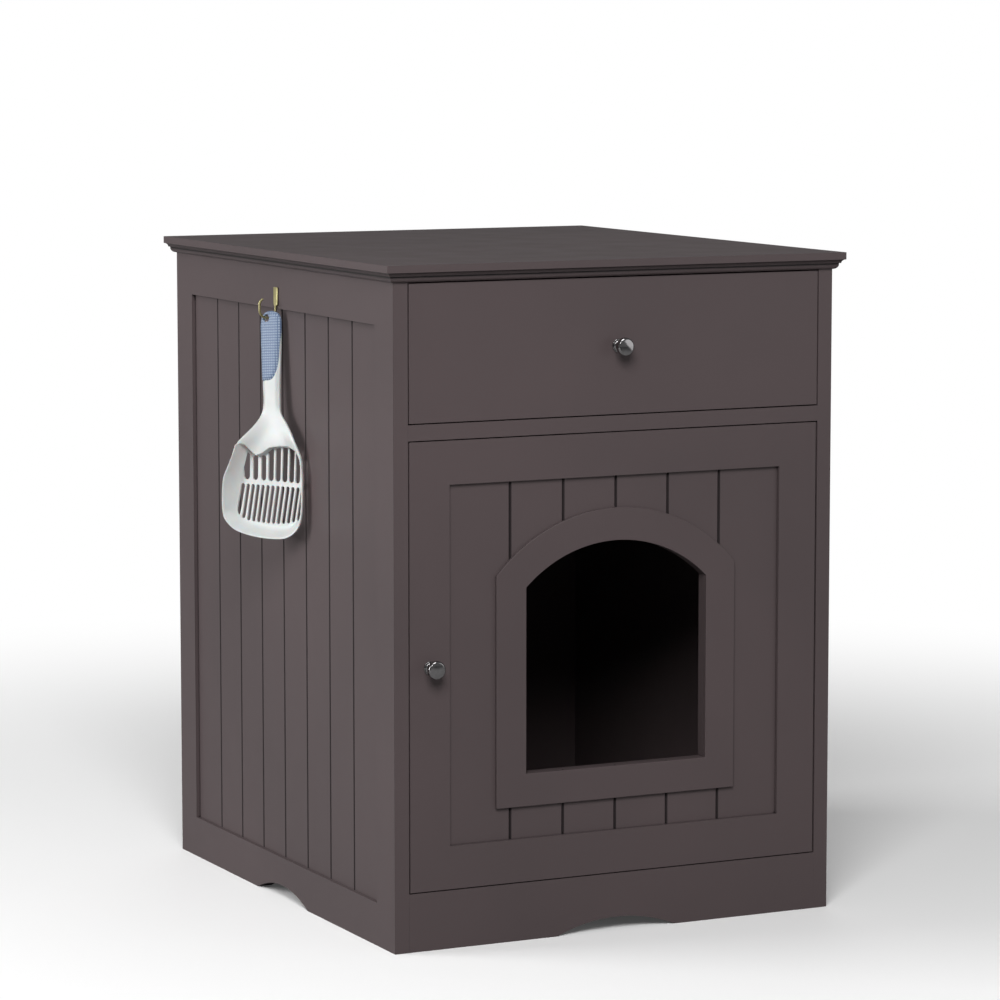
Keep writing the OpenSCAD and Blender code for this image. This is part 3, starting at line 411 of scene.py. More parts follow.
def mergedCopy(nodeName):
    copy = nodes[nodeName].copy()
    copy.data = nodes[nodeName].data.copy()
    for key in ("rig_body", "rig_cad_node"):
        if key in copy:
            del copy[key]
    copy.parent = None
    bpy.context.scene.collection.objects.link(copy)
    makeActive(copy)
    bpy.ops.object.mode_set(mode="EDIT")
    bpy.ops.mesh.select_all(action="SELECT")
    bpy.ops.mesh.remove_doubles(threshold=weld)
    bpy.ops.mesh.dissolve_limited(angle_limit=nearlyFlat)
    bpy.ops.object.mode_set(mode="OBJECT")
    return copy


def easedBoard(nodeName):
    board = mergedCopy(nodeName)
    grooved = nodeName in boards["grooved"]
    addModifier(board, "BEVEL", width=boards["fineEdge"] if grooved else boards["edge"],
                segments=boards["rings"], limit_method="ANGLE", angle_limit=math.radians(30))
    shadeByAngle(board, 35)
    # the routed top board takes the coat with painted shade in its coves
    coat = coveShadePaint if nodeName == boards["routed"] else slotMaterial[slotOf[nodeName]]
    finishPiece(board, nodeName + "_eased", bodyOf[nodeName], coat, [nodeName])
    if grooved:
        # the groove walls take the coat of painted shade
        board.data.materials.append(grooveShadePaint)
        for face in board.data.polygons:
            # only the walls of the V grooves stand askew to both the front and the side
            if abs(face.normal.x * face.normal.y) > boards["askew"]:
                face.material_index = 1


for nodeName in boards["names"]:
    easedBoard(nodeName)
print("boards eased")


# ---- scoop: hung and twisted on its hook ----

# millimetres and degrees, in the scoop's own frame: x across, z up, depth out of the open side;
# coarse: middle, top and width of each slot; fineTop: left, right and their two heights;
# slotReach: depth that the first slot is cut to, and how much more the last one
scoop = {"turn": -64, "lean": -6, "tilt": -4.5, "drop": 0.5, "skew": 4, "neckEnd": -96,
         "cell": 0.9, "wall": 1.7, "holeR": 3.9, "middle": 4.2, "spare": 0.1,
         "trim": (-8, 22), "through": (-6, 9), "slotReach": (1.2, 5), "coarseLean": 5,
         "leanShare": 0.5, "coarseRise": 4, "fineRise": 6,
         "outline": [(4.2, 6.2), (-2.6, 4.6), (-6.4, 0.6), (-7.6, -6), (-7.4, -30), (-6.3, -62),
                     (-5.5, -86), (-7.2, -97), (-12.5, -107), (-19.5, -115), (-25.6, -120.6),
                     (-28.5, -124.5), (-33.8, -135.7), (-40, -146), (-45.7, -155.6), (-50.2, -170),
                     (-51.3, -186.6), (-48, -196.5), (-41, -204), (-30, -210), (-7, -215.3),
                     (20, -217.3), (34.2, -214.7), (44.7, -206.9), (50.1, -194.2), (52.3, -170.8),
                     (52.4, -149.2), (48.7, -132.9), (38.8, -116.5), (27.1, -103.7), (19, -95.5),
                     (15.4, -86), (15, -62), (16, -30), (16, -6), (14.8, 0.6), (11, 4.6)],
         "wave": [(-40, -124), (-30, -126), (-23, -126.5), (-18.5, -132), (-11, -136.7),
                  (-3, -134.1), (6, -128.2), (18.5, -126), (30, -126), (42, -130), (50, -141),
                  (56, -152)],
         "coarse": [(-26.4, -130.9, 7.6), (-15.2, -134.0, 6.8), (-4.6, -134.5, 6.6),
                    (5.2, -127.0, 7.2), (14.4, -126.0, 7.0), (23.4, -126.0, 7.0),
                    (32.2, -126.5, 6.8), (40.2, -130.0, 6.2), (47.2, -139.5, 4.4)],
         "coarseEnd": (-158.4, -163.6),
         "fineTop": (-30.9, 46.3, -162.0, -167.2), "fineLean": -6.5, "fineWidth": 4.5,
         "fineEnd": [-193.5, -196.6, -198.9, -200, -200.7, -201.3, -201.9, -202.4, -202.6,
                     -202.5, -202.1, -201.0, -199.6]}

swingPlace = [joint["pos_m"] for joint in frame["record"]["behaviour"]["joints"]
              if joint["name"] == "scoop_swing"][0]
scoopTurn = (Matrix.Rotation(math.radians(scoop["turn"]), 3, "Z")
             @ Matrix.Rotation(math.radians(scoop["lean"]), 3, "X")
             @ Matrix.Rotation(math.radians(scoop["tilt"]), 3, "Y"))
scoopHole = Vector(swingPlace) - Vector((0, 0, scoop["drop"] * mm))


def hungPoint(x, depth, z):
    return scoopHole + scoopTurn @ (Vector((x, -depth, z)) * mm)


def smoothLoop(points, steps=6):
    # closed curve through all the points
    loop = []
    for i in range(len(points)):
        a, b, c, d = (numpy.array(points[(i + k - 1) % len(points)], float) for k in range(4))
        for step in range(steps):
            t = step / steps
            loop.append(0.5 * (2 * b + (c - a) * t + (2 * a - 5 * b + 4 * c - d) * t ** 2
                               + (3 * b - a - 3 * c + d) * t ** 3))
    return numpy.array(loop)


def edgeDistance(x, z, loop):
    # distance from each place to the outline, in millimetres
    nearest = numpy.full(x.shape, 1e9)
    for a, b in zip(loop, numpy.roll(loop, -1, axis=0)):
        run = b - a
        share = numpy.clip(((x - a[0]) * run[0] + (z - a[1]) * run[1]) / (run @ run), 0, 1)
        gap = numpy.hypot(x - a[0] - share * run[0], z - a[1] - share * run[1])
        nearest = numpy.minimum(nearest, gap)
    return nearest


def ramp(value, start, run):
    return numpy.clip((value - start) / run, 0, 1)


def softStep(value):
    value = numpy.clip(value, 0, 1)
    return value * value * (3 - 2 * value)


def softened(field, rounds):
    # each place drifts to the mean of its neighbours
    for step in range(rounds):
        wide = numpy.pad(field, 1, mode="edge")
        around = wide[:-2, 1:-1] + wide[2:, 1:-1] + wide[1:-1, :-2] + wide[1:-1, 2:]
        field = (around + 4 * field) / 8
    return field


def panFrame(x, z):
    # the pan sits askew on its handle
    lean = math.radians(scoop["skew"])
    across, up = x - scoop["middle"], z - scoop["neckEnd"]
    return (across * math.cos(lean) - up * math.sin(lean),
            across * math.sin(lean) + up * math.cos(lean) + scoop["neckEnd"])


def prism(outline, low, high, name):
    # solid between two depths over an outline of the scoop's frame
    count = len(outline)
    points = [hungPoint(x, depth, z) for depth in (low, high) for x, z in outline]
    faces = [list(range(count)), list(range(2 * count - 1, count - 1, -1))]
    faces += [[i, count + i, count + (i + 1) % count, (i + 1) % count] for i in range(count)]
    return outward(meshPiece(points, faces, name))


def reliefPiece(x, z, front, back, name):
    # solid between two height fields laid on the same grid of places
    rows, columns = x.shape
    points = []
    for field in (front, back):
        for i in range(rows):
            for j in range(columns):
                points.append(hungPoint(x[i, j], field[i, j], z[i, j]))
    faces = []
    half = rows * columns
    for i in range(rows - 1):
        for j in range(columns - 1):
            a, b = i * columns + j, i * columns + j + 1
            c, d = b + columns, a + columns
            faces += [[a, b, c, d], [half + d, half + c, half + b, half + a]]
    ring = ([j for j in range(columns)] + [i * columns + columns - 1 for i in range(1, rows)]
            + [(rows - 1) * columns + j for j in range(columns - 2, -1, -1)]
            + [i * columns for i in range(rows - 2, 0, -1)])
    for a, b in zip(ring, ring[1:] + ring[:1]):
        faces.append([b, a, half + a, half + b])
    return outward(meshPiece(points, faces, name))


def slotOutline(top, bottom, width):
    # slot with round ends between two places
    run = numpy.array(top, float) - numpy.array(bottom, float)
    length = math.hypot(*run)
    along = run / length
    across = numpy.array((along[1], -along[0]))
    radius = width / 2
    outline = []
    ends = ((numpy.array(top) - along * radius, 0), (numpy.array(bottom) + along * radius, 180))
    for centre, start in ends:
        for step in range(9):
            # half a turn in eight steps
            angle = math.radians(start + step * 22.5)
            outline.append(centre + radius * (math.cos(angle) * across + math.sin(angle) * along))
    return outline


def holeCutter(name):
    radius = scoop["holeR"]
    hole = [(radius * math.cos(k * math.pi / 24), radius * math.sin(k * math.pi / 24))
            for k in range(48)]
    return prism(hole, *scoop["through"], name)


# relief of the pan, millimetres; places ending in From are counted down from the hook's hole
pan = {"halfWidth": 50, "rim": 17, "rimFall": 9, "rimFrom": 118, "rimRun": 98, "rightCut": 0.3,
       "bend": 6, "bendGrowth": 15, "bendFrom": 128, "bendRun": 44, "rightBend": 7,
       "rightReach": 1.6, "tipBend": 13, "tipFrom": 185, "tipRun": 25, "lip": 1.5, "curve": 2.1,
       "slopeRise": 6, "slopeRun": 34, "shoulderEdge": 16, "shoulderCurve": 1.5,
       "shoulderLow": 0.42, "shoulderGrowth": 0.58, "smoothing": 50, "waveStep": 2.2,
       "handleFrom": 100, "handleRun": 20, "handleRound": 1.6, "handleEdge": 5,
       "core": 1.5, "coreEdge": 3}


def panRelief(x, z, loop):
    # front and back of the pan: the concave wall, the floor, the shoulders and the handle core
    u, v = panFrame(x, z)
    inside = edgeDistance(x, z, loop)
    side = ramp(u, -pan["halfWidth"], 2 * pan["halfWidth"])
    rim = pan["rim"] - pan["rimFall"] * ramp(-v, pan["rimFrom"], pan["rimRun"])
    rim = rim * (1 - pan["rightCut"] * softStep(side))
    bend = pan["bend"] + pan["bendGrowth"] * softStep(ramp(-v, pan["bendFrom"], pan["bendRun"]))
    bend = bend + (pan["rightBend"] - bend) * softStep(side * pan["rightReach"])
    bend = bend + (pan["tipBend"] - bend) * softStep(ramp(-v, pan["tipFrom"], pan["tipRun"]))
    hollow = rim * (1 - ramp(inside, pan["lip"], bend)) ** pan["curve"]
    slope = softStep(ramp(-v, -scoop["neckEnd"] - pan["slopeRise"], pan["slopeRun"]))
    nearEdge = (1 - ramp(inside, 0, pan["shoulderEdge"])) ** pan["shoulderCurve"]
    swell = slope * (pan["shoulderLow"] + pan["shoulderGrowth"] * nearEdge)
    shoulder = softened(1 + (rim - 1) * swell, pan["smoothing"])
    waveLine = numpy.interp(u, [p[0] for p in scoop["wave"]], [p[1] for p in scoop["wave"]])
    blend = softStep((v - waveLine) / pan["waveStep"] + 0.5)
    front = hollow + (shoulder - hollow) * blend
    crown = softStep(ramp(z, -pan["handleFrom"], pan["handleRun"]))
    front = front - crown * pan["handleRound"] * (1 - ramp(inside, 0, pan["handleEdge"])) ** 2
    # the lip leans outwards and is kept within the reach of the solids
    room = (scoopHole.x - cadLow.x) / mm - scoop["spare"]
    room = room + scoopTurn[0][0] * x + scoopTurn[0][2] * z
    front = numpy.minimum(front, room / scoopTurn[0][1])
    back = front - scoop["wall"] - crown * pan["core"] * ramp(inside, 0, pan["coreEdge"])
    return front, back


def slotCutters():
    # two rows, which lean more towards the right and reach up its wall there
    low, more = scoop["slotReach"]
    cutters = []
    first, last = scoop["coarseEnd"]
    for i, (middle, top, width) in enumerate(scoop["coarse"]):
        share = i / (len(scoop["coarse"]) - 1)
        bottom = first + (last - first) * share
        lean = (bottom - top) * math.tan(math.radians(scoop["coarseLean"] * share))
        outline = slotOutline((middle, top), (middle + lean * scoop["leanShare"], bottom), width)
        reach = low + more * share ** scoop["coarseRise"]
        cutters.append(prism(outline, scoop["through"][0], reach, "scoopSlot"))
    left, right, leftTop, rightTop = scoop["fineTop"]
    for i, bottom in enumerate(scoop["fineEnd"]):
        share = i / (len(scoop["fineEnd"]) - 1)
        top = (left + (right - left) * share, leftTop + (rightTop - leftTop) * share)
        outline = slotOutline(top, (top[0] + scoop["fineLean"], bottom), scoop["fineWidth"])
        reach = low + more * share ** scoop["fineRise"]
        cutters.append(prism(outline, scoop["through"][0], reach, "scoopSlot"))
    return cutters


def gridOver(loop, cell):
    low, high = loop.min(axis=0) - 1, loop.max(axis=0) + 1
    return numpy.meshgrid(numpy.arange(low[0], high[0], cell), numpy.arange(low[1], high[1], cell))


def makeScoopPan():
    loop = smoothLoop(scoop["outline"])
    x, z = gridOver(loop, scoop["cell"])
    front, back = panRelief(x, z, loop)
    piece = reliefPiece(x, z, front, back, "scoopPan")
    cutWith(piece, prism(loop, *scoop["trim"], "scoopTrim"), "INTERSECT")
    cutters = slotCutters()
    cutters.append(holeCutter("scoopHole"))
    makeActive(cutters[0])
    for cutter in cutters:
        cutter.select_set(True)
    bpy.ops.object.join()
    cutWith(piece, bpy.context.object)
    outward(piece)
    shadeByAngle(piece, 40)
    finishPiece(piece, "scoop_moulding", "scoop", whitePlastic, ["scoop_pan"])


# millimetres; the outline is counted from the handle's middle line
grip = {"cell": 0.6, "core": 1.0, "thick": 1.5, "edge": 5.0, "round": 2.2, "least": 0.6,
        "skirt": 2.2, "skirtWidth": 1.2, "skirtFrom": -55, "skirtRun": 35, "trim": (-8, 12),
        "outline": [(0, 7.0), (-7.6, 5.0), (-11.4, 0.6), (-12.7, -6), (-12.4, -20), (-11.6, -40),
                    (-10.8, -58), (-9.9, -61.2), (-7, -61.9), (-2, -62), (3.4, -60.2),
                    (7.6, -54.5), (9.6, -46), (10.8, -34), (11.9, -20), (12.5, -6), (11.4, 0.6),
                    (7.6, 5.0)]}


def makeScoopGrip():
    # soft overlay on the handle: crowned, round at its edges, cut round at the lower right
    loop = smoothLoop([(scoop["middle"] + across, up) for across, up in grip["outline"]])
    x, z = gridOver(loop, grip["cell"])
    inside = edgeDistance(x, z, loop)
    fall = 1 - ramp(inside, 0, grip["edge"])
    front = grip["core"] + grip["thick"] - grip["round"] * fall ** 2
    skirt = grip["skirt"] * softStep(ramp(z, grip["skirtFrom"], grip["skirtRun"]))
    back = grip["least"] - skirt * (inside < grip["skirtWidth"])
    back = numpy.minimum(front - grip["least"], back)
    piece = reliefPiece(x, z, front, back, "scoopGrip")
    cutWith(piece, prism(loop, *grip["trim"], "gripTrim"), "INTERSECT")
    cutWith(piece, holeCutter("gripHole"))
    outward(piece)
    shadeByAngle(piece, 40)
    layer = piece.data.uv_layers.new(name="gripPlan")
    unturn = scoopTurn.inverted()
    for corner in piece.data.loops:
        spot = unturn @ (piece.data.vertices[corner.vertex_index].co - scoopHole)
        layer.data[corner.index].uv = (spot.x, spot.z)
    finishPiece(piece, "scoop_overlay", "scoop", softGrip, ["scoop_grip"])


makeScoopPan()
makeScoopGrip()
print("scoop made")


# ---- turned and bent metal ----

def turned(name, profile, place, axisTurn, steps=64, fill="NGON"):
    # a disc pushed out ring by ring along the profile of radius and height, in millimetres
    deselectAll()
    radius, height = profile[0]
    bpy.ops.mesh.primitive_circle_add(vertices=steps, radius=radius * mm, fill_type=fill,
                                      location=(0, 0, height * mm))
    piece = applyPlace(bpy.context.object)
    bpy.ops.object.mode_set(mode="EDIT")
    bpy.ops.mesh.select_all(action="SELECT")
    for nextRadius, nextHeight in profile[1:]:
        bpy.ops.mesh.extrude_region_move(
            TRANSFORM_OT_translate={"value": (0, 0, (nextHeight - height) * mm)})
        share = nextRadius / radius
        bpy.ops.transform.resize(value=(share, share, 1), center_override=(0, 0, nextHeight * mm))
        radius, height = nextRadius, nextHeight
    bpy.ops.object.mode_set(mode="OBJECT")
    piece.name = name
    piece.matrix_world = Matrix.Translation(place) @ axisTurn.to_4x4()
    applyPlace(piece)
    return outward(piece)


def arcProfile(centre, radius, start, end, steps):
    return [(centre[0] + radius * math.cos(math.radians(start + (end - start) * i / steps)),
             centre[1] + radius * math.sin(math.radians(start + (end - start) * i / steps)))
            for i in range(steps + 1)]


# millimetres, heights from the foot; dome: radius and fall of the rings on the flat face
knob = {"foot": 6.5, "footThick": 1.4, "footChamfer": (0.4, 0.3), "footEdge": 0.6,
        "footStep": (1.8, 0.1), "neck": 3.8, "cove": 2.2, "coveHeight": 2.4, "neckTop": 9.0,
        "flare": 1.6, "flareHeight": 9.2, "head": 8.75, "headLow": 11.0, "reach": 18.0,
        "rim": 2.1, "crown": 0.35, "dome": [(4.6, 0.16), (2.2, 0.04), (0.4, 0.0)]}


def makeKnob(nodeName):
    low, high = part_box(nodeName)
    middle = Vector(((low.x + high.x) / 2, high.y, (low.z + high.z) / 2))
    foot, neck, edge = knob["foot"], knob["neck"], knob["footEdge"]
    rimMiddle = knob["head"] - knob["rim"]
    profile = [(foot - knob["footChamfer"][0], 0.0), (foot, knob["footChamfer"][1])]
    profile += arcProfile((foot - edge, knob["footThick"] - edge), edge, 0, 90, 4)
    profile += [(foot - knob["footStep"][0], knob["footThick"] + knob["footStep"][1])]
    profile += arcProfile((neck + knob["cove"], knob["footThick"] + knob["coveHeight"]),
                          knob["cove"], 255, 180, 6)
    profile += [(neck, knob["neckTop"])]
    profile += arcProfile((neck + knob["flare"], knob["flareHeight"]), knob["flare"], 180, 115, 5)
    profile += arcProfile((rimMiddle, knob["headLow"] + knob["rim"]), knob["rim"], -70, 0, 6)
    profile += arcProfile((rimMiddle, knob["reach"] - knob["rim"] - knob["crown"]),
                          knob["rim"], 0, 84, 8)
    profile += [(radius, knob["reach"] - fall) for radius, fall in knob["dome"]]
    piece = turned(nodeName + "_turned", profile, middle, Matrix.Rotation(math.radians(90), 3, "X"))
    shadeByAngle(piece, 40)
    finishPiece(piece, nodeName + "_turned", bodyOf[nodeName], chrome, [nodeName])


makeKnob("door_knob")
makeKnob("drawer_knob")


def sweptPiece(name, sections, sides=20):
    # skin over cross-sections: centre, two half axes and how square each one is
    points = []
    for centre, first, second, square in sections:
        for k in range(sides):
            angle = 2 * math.pi * k / sides
            c, s = math.cos(angle), math.sin(angle)
            power = 2 / square
            points.append(centre + first * math.copysign(abs(c) ** power, c)
                          + second * math.copysign(abs(s) ** power, s))
    faces = [list(range(sides)), list(range((len(sections) - 1) * sides, len(sections) * sides))]
    for i in range(len(sections) - 1):
        for k in range(sides):
            a, b = i * sides + k, i * sides + (k + 1) % sides
            faces.append([a, b, b + sides, a + sides])
    return outward(meshPiece(points, faces, name))


# millimetres: strip hammered flat at the top, drawn down to round wire, bent to a hook;
# strip: shares of its length and of its width; square and round: how square a section is;
# tipEnd: steps in wire radii and shares of the wire's thickness
hook = {"wire": 1.1, "gap": 0.15, "bend": 7.5, "run": 2.0, "leg": 5.5, "flat": (4.9, 0.8),
        "neck": 3.6, "straight": 1.2, "roundFrom": 0.7, "roundRun": 0.3, "tip": 6.0, "tipTurn": 60,
        "square": 5, "round": 2,
        "strip": [(0, 0.9), (0.01, 0.97), (0.03, 1.0), (0.9, 1.0), (0.95, 0.8), (0.98, 0.5),
                  (1, 0.22)],
        "tipEnd": [(0.5, 0.87), (0.85, 0.55), (1.0, 0.15)]}


def stripSections(wallX, backX, middleY, top, neckZ):
    # from the flat top down to the neck, where the strip has become wire
    wide, thick = hook["flat"][0] * mm, hook["flat"][1] * mm
    wire = hook["wire"] * mm
    flatX = wallX - thick
    sections = []
    for share, slim in hook["strip"]:
        blend = min(1, max(0, (share - hook["roundFrom"]) / hook["roundRun"]))
        place = Vector((flatX + (backX - flatX) * blend, middleY, top + (neckZ - top) * share))
        sections.append((place, Vector((0, max(wide * slim, wire), 0)),
                         Vector((thick + (wire - thick) * blend, 0, 0)),
                         hook["square"] + (hook["round"] - hook["square"]) * blend))
    return sections


def wireArc(centre, radius, start, turn, count, first=0):
    # round wire along an arc; its angles are counted downwards from the side of the wall
    wire = hook["wire"] * mm
    sections = []
    for i in range(first, count + 1):
        angle = math.radians(start + i * turn / count)
        out = Vector((math.cos(angle), 0, -math.sin(angle)))
        sections.append((centre + out * radius, Vector((0, wire, 0)), out * wire, hook["round"]))
    return sections


def makeHook():
    low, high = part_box("scoop_hook")
    middleY = (low.y + high.y) / 2
    wire, bend, tip = hook["wire"] * mm, hook["bend"] * mm, hook["tip"] * mm
    backX = high.x - (hook["wire"] + hook["gap"]) * mm
    frontX = backX - 2 * bend - hook["run"] * mm
    bendZ = swingPlace[2] + bend
    legTop = bendZ + hook["leg"] * mm
    across = Vector((0, wire, 0))
    sections = stripSections(high.x, backX, middleY, high.z, bendZ + hook["neck"] * mm)
    sections.append((Vector((backX, middleY, bendZ + hook["straight"] * mm)), across,
                     Vector((wire, 0, 0)), hook["round"]))
    sections += wireArc(Vector((backX - bend, middleY, bendZ)), bend, 0, 90, 8)
    sections += wireArc(Vector((frontX + bend, middleY, bendZ)), bend, 90, 90, 8)
    for share in (0.5, 1.0):
        sections.append((Vector((frontX, middleY, bendZ + (legTop - bendZ) * share)), across,
                         Vector((-wire, 0, 0)), hook["round"]))
    sections += wireArc(Vector((frontX + tip, middleY, legTop)), tip, 180, hook["tipTurn"], 8, 1)
    centre, first, second, square = sections[-1]
    angle = math.radians(180 - hook["tipTurn"])
    onward = Vector((math.sin(angle), 0, -math.cos(angle)))
    for step, slim in hook["tipEnd"]:
        sections.append((centre + onward * wire * step, first * slim, second * slim, square))
    piece = sweptPiece("hook_wire", sections)
    shadeByAngle(piece, 45)
    finishPiece(piece, "hook_wire", "cabinet", brass, ["scoop_hook"])


makeHook()


# radii, depth of the recess in both faces and its slanting sides, millimetres
roller = {"outer": 8.5, "web": 6.4, "hub": 3.6, "bore": 2.06, "recess": 1.1, "soft": 0.6,
          "hubSlant": 0.3, "webSlant": 0.4,
          "names": ["roller_left_front", "roller_right_front", "roller_left_rear",
                    "roller_right_rear"]}


def makeRoller(nodeName):
    low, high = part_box(nodeName)
    middle = (low + high) / 2
    half = (high.x - low.x) / 2 / mm
    outer = min(roller["outer"], (high.z - low.z) / 2 / mm)
    deep = half - roller["recess"]
    soft = roller["soft"]
    hub, hubFoot = roller["hub"], roller["hub"] + roller["hubSlant"]
    web, webTop = roller["web"], roller["web"] + roller["webSlant"]
    profile = [(roller["bore"], -half), (hub, -half), (hubFoot, -deep), (web, -deep),
               (webTop, -half)]
    profile += arcProfile((outer - soft, -half + soft), soft, -90, 0, 4)
    profile += arcProfile((outer - soft, half - soft), soft, 0, 90, 4)
    profile += [(webTop, half), (web, deep), (hubFoot, deep), (hub, half), (roller["bore"], half),
                (roller["bore"], -half)]
    piece = turned(nodeName + "_turned", profile, middle, Matrix.Rotation(math.radians(90), 3, "Y"),
                   48, "NOTHING")
    shadeByAngle(piece, 30)
    finishPiece(piece, nodeName + "_turned", bodyOf[nodeName], nylon, [nodeName])


for nodeName in roller["names"]:
    makeRoller(nodeName)
print("turned and bent pieces made")


# ---- fittings: CAD shapes with a driver recess in each head ----

def longAxis(obj):
    # the axis whose size is the odd one out, and the two corners of the box
    spots = [vertex.co for vertex in obj.data.vertices]
    low = Vector([min(spot[i] for spot in spots) for i in range(3)])
    high = Vector([max(spot[i] for spot in spots) for i in range(3)])
    size = high - low
    pairs = [(abs(size[(i + 1) % 3] - size[(i + 2) % 3]), i) for i in range(3)]
    return min(pairs)[1], low, high


# driver recess: half width and taper of its blades as shares, how far they start above the head,
# and how near to an end of the fitting a point counts as part of the head; screw and cam: share of
# the head's radius and depth in millimetres
recess = {"width": 0.2, "taper": 0.5, "above": 0.02 * mm, "near": 0.05 * mm,
          "screw": (0.55, 0.5), "cam": (0.5, 1.6),
          "screws": ["back_screws", "drawer_back_screws", "catch_screws", "strike_screws",
                     "runner_screws_cabinet", "runner_screws_drawer", "door_knob_screw",
                     "drawer_knob_screw"],
          "cams": ["cam_locks", "drawer_cam_locks"]}


def recessBlade(place, along, one, two, radius, depth):
    # one of two crossed blades, tapering into the head
    points = []
    thick = radius * recess["width"]
    for reach, slim in ((recess["above"], 1.0), (-depth, recess["taper"])):
        for a, b in ((1, 1), (-1, 1), (-1, -1), (1, -1)):
            points.append(place + along * reach + one * a * radius * slim + two * b * thick * slim)
    faces = [[0, 1, 2, 3], [7, 6, 5, 4]]
    faces += [[i, 4 + i, 4 + (i + 1) % 4, (i + 1) % 4] for i in range(4)]
    return outward(meshPiece(points, faces, "recess"))


def headRadius(obj, axis, middle, level):
    near = [vertex.co for vertex in obj.data.vertices
            if abs(vertex.co[axis] - level) < recess["near"]]
    return max(math.hypot(*((spot - middle)[i] for i in range(3) if i != axis)) for spot in near)


def headedFittings(nodeName, share, depth, bothEnds=False):
    mergedCopy(nodeName)
    bpy.ops.object.mode_set(mode="EDIT")
    bpy.ops.mesh.select_all(action="SELECT")
    bpy.ops.mesh.separate(type="LOOSE")
    bpy.ops.object.mode_set(mode="OBJECT")
    singles = list(bpy.context.selected_objects)
    for single in singles:
        axis, low, high = longAxis(single)
        middle = (low + high) / 2
        along, first, second = (Matrix.Identity(3)[(axis + k) % 3] for k in range(3))
        ends = {1: headRadius(single, axis, middle, high[axis]),
                -1: headRadius(single, axis, middle, low[axis])}
        for end in [1, -1] if bothEnds else [max(ends, key=ends.get)]:
            place = middle.copy()
            place[axis] = high[axis] if end > 0 else low[axis]
            for one, two in ((first, second), (second, first)):
                cutWith(single, recessBlade(place, along * end, one, two, ends[end] * share,
                                            depth * mm))
    makeActive(singles[0])
    for single in singles:
        single.select_set(True)
    bpy.ops.object.join()
    piece = bpy.context.object
    shadeByAngle(piece, 30)
    finishPiece(piece, nodeName + "_headed", bodyOf[nodeName],
                slotMaterial[slotOf[nodeName]], [nodeName])


for nodeName in recess["screws"]:
    headedFittings(nodeName, *recess["screw"])
for nodeName in recess["cams"]:
    headedFittings(nodeName, *recess["cam"], bothEnds=True)


# width of the rounded edge in millimetres
trims = {"runner_left_cabinet": 0.25, "runner_right_cabinet": 0.25, "runner_left_drawer": 0.25,
         "runner_right_drawer": 0.25, "catch_housing": 0.5, "pivot_bush_lower": 0.3,
         "pivot_bush_upper": 0.3, "pivot_pin_lower": 0.2, "pivot_pin_upper": 0.2,
         "strike_plate": 0.2, "catch_magnet": 0.15, "wood_dowels": 0.5, "cam_bolts": 0.15,
         "drawer_cam_bolts": 0.15, "drawer_bottom": 0.2}

for nodeName, width in trims.items():
    piece = mergedCopy(nodeName)
    addModifier(piece, "BEVEL", width=width * mm, segments=2, limit_method="ANGLE",
                angle_limit=math.radians(40))
    shadeByAngle(piece, 35)
    finishPiece(piece, nodeName + "_eased", bodyOf[nodeName],
                slotMaterial[slotOf[nodeName]], [nodeName])
print("fittings made")


# ---- floor, light and camera ----

# sizes in metres, power in watts; glow: share of plain white in the paper under the cabinet;
# lamps: place, size, power, turn about their own axis in degrees, and whether they only light
# the surfaces, only show in glossy ones, or do both
studio = {"floorSize": 14.0, "floorTone": "#fbfbfb", "bounceTone": "#959595", "fadeFrom": 0.7,
          "fadeTo": 1.9, "glow": 0.05, "paperRough": 0.9, "skyDiffuse": 0.18, "skyGlossy": 0.2,
          "lamps": [("keyLamp", (-1.42, -2.77, 2.36), 1.6, 122.0, 0, "light"),
                    ("leftGlintLamp", (-1.5, -2.9, 2.2), 0.9, 14.0, 0, "mirror"),
                    ("topGlintLamp", (-0.3, -1.5, 2.9), 1.3, 32.0, 0, "mirror"),
                    ("sideLamp", (-3.4, 1.3, 1.3), 1.9, 104.0, 0, "both"),
                    ("cardLamp", (1.95, -2.6, 0.8), 1.2, 5.0, 45, "both"),
                    ("backLamp", (1.8, 3.2, 0.9), 2.0, 32.0, 0, "light")]}


def makeFloor():
    deselectAll()
    bpy.ops.mesh.primitive_plane_add(size=studio["floorSize"], location=(0, 0, cadLow.z))
    floor = applyPlace(bpy.context.object)
    floor.name = "studioFloor"
    material = bpy.data.materials.new("pale studio paper")
    material.use_nodes = True
    tree = material.node_tree
    shader = tree.nodes["Principled BSDF"]
    shader.inputs["Roughness"].default_value = studio["paperRough"]
    # the camera sees the paper fade to white away from the cabinet
    place = addNode(tree, "ShaderNodeTexCoord")
    away = addNode(tree, "ShaderNodeVectorMath", {"operation": "LENGTH"}, {0: (place, "Object")})
    fade = addNode(tree, "ShaderNodeMapRange",
                   {"interpolation_type": "SMOOTHSTEP", "From Min": studio["fadeFrom"],
                    "From Max": studio["fadeTo"], "To Min": studio["glow"], "To Max": 1.0},
                   {"Value": (away, "Value")})
    rays = addNode(tree, "ShaderNodeLightPath")
    tone = addNode(tree, "ShaderNodeMix", {"data_type": "RGBA", 6: toLinear(studio["bounceTone"]),
                                           7: toLinear(studio["floorTone"])},
                   {0: (rays, "Is Camera Ray")})
    tree.links.new(tone.outputs[2], shader.inputs["Base Color"])
    glow = addNode(tree, "ShaderNodeEmission", {"Strength": 1.0})
    share = addNode(tree, "ShaderNodeMath", {"operation": "MULTIPLY"},
                    {0: (rays, "Is Camera Ray"), 1: (fade, 0)})
    faded = addNode(tree, "ShaderNodeMixShader", {},
                    {0: (share, 0), 1: (shader, 0), 2: (glow, 0)})
    tree.links.new(faded.outputs[0], tree.nodes["Material Output"].inputs["Surface"])
    floor.data.materials.append(material)


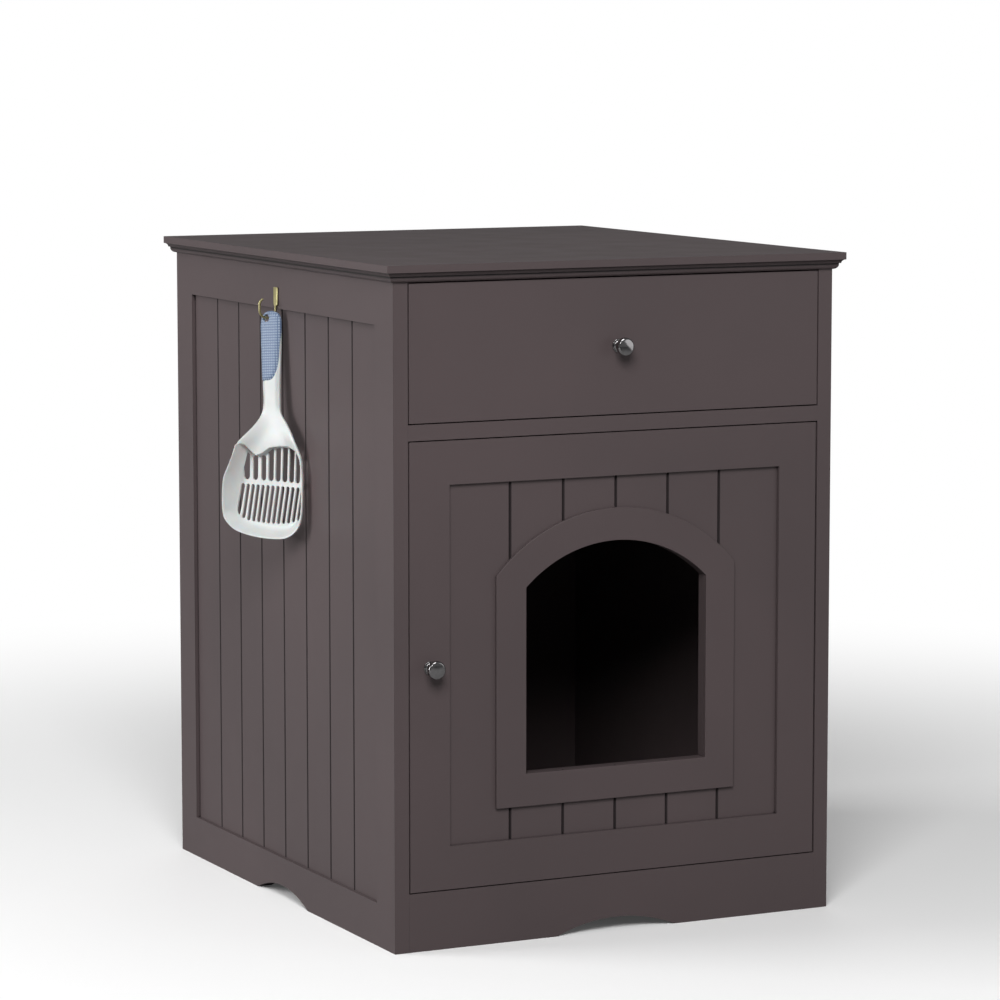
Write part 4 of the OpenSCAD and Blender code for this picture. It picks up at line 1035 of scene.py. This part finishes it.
def makeSky():
    world = bpy.data.worlds.new("studioSky")
    bpy.context.scene.world = world
    world.use_nodes = True
    tree = world.node_tree
    light = tree.nodes["Background"]
    rays = addNode(tree, "ShaderNodeLightPath")
    level = addNode(tree, "ShaderNodeMapRange",
                    {"To Min": studio["skyDiffuse"], "To Max": studio["skyGlossy"]},
                    {"Value": (rays, "Is Glossy Ray")})
    light.inputs["Color"].default_value = (1, 1, 1, 1)
    tree.links.new(level.outputs[0], light.inputs["Strength"])
    seen = addNode(tree, "ShaderNodeBackground", {"Strength": 1.0, "Color": (1, 1, 1, 1)})
    choose = addNode(tree, "ShaderNodeMixShader", {},
                     {0: (rays, "Is Camera Ray"), 1: (light, 0), 2: (seen, 0)})
    tree.links.new(choose.outputs[0], tree.nodes["World Output"].inputs["Surface"])


def makeLamps():
    aim = Vector((0, 0, (cadLow.z + cadHigh.z) / 2))
    for name, place, size, power, turn, use in studio["lamps"]:
        deselectAll()
        bpy.ops.object.light_add(type="AREA", location=place)
        lamp = bpy.context.object
        lamp.name = name
        lamp.data.shape = "SQUARE"
        lamp.data.size = size
        lamp.data.energy = power
        towards = (aim - Vector(place)).to_track_quat("-Z", "Y").to_matrix()
        lamp.rotation_euler = (towards @ Matrix.Rotation(math.radians(turn), 3, "Z")).to_euler()
        lamp.visible_camera = False
        lamp.visible_diffuse = use != "mirror"
        lamp.visible_glossy = use != "light"


# the photo's own camera: place seen from the low corner of the left side panel's box in metres,
# angles in degrees
lens = {"offset": (-1.54379, -3.38028, 0.87766), "turn": -26.072, "down": 6.857, "roll": 0.014,
        "millimetres": 145.12, "sensor": 36, "far": 50}


def makeCamera():
    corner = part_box("side_panel_left")[0]
    deselectAll()
    bpy.ops.object.camera_add(location=corner + Vector(lens["offset"]))
    camera = bpy.context.object
    camera.rotation_euler = Euler((math.radians(90 - lens["down"]), math.radians(lens["roll"]),
                                   math.radians(lens["turn"])))
    camera.data.lens = lens["millimetres"]
    camera.data.sensor_width = lens["sensor"]
    camera.data.clip_end = lens["far"]
    bpy.context.scene.camera = camera


makeFloor()
makeSky()
makeLamps()
makeCamera()
bpy.context.scene.view_settings.view_transform = "Standard"
print("studio ready")
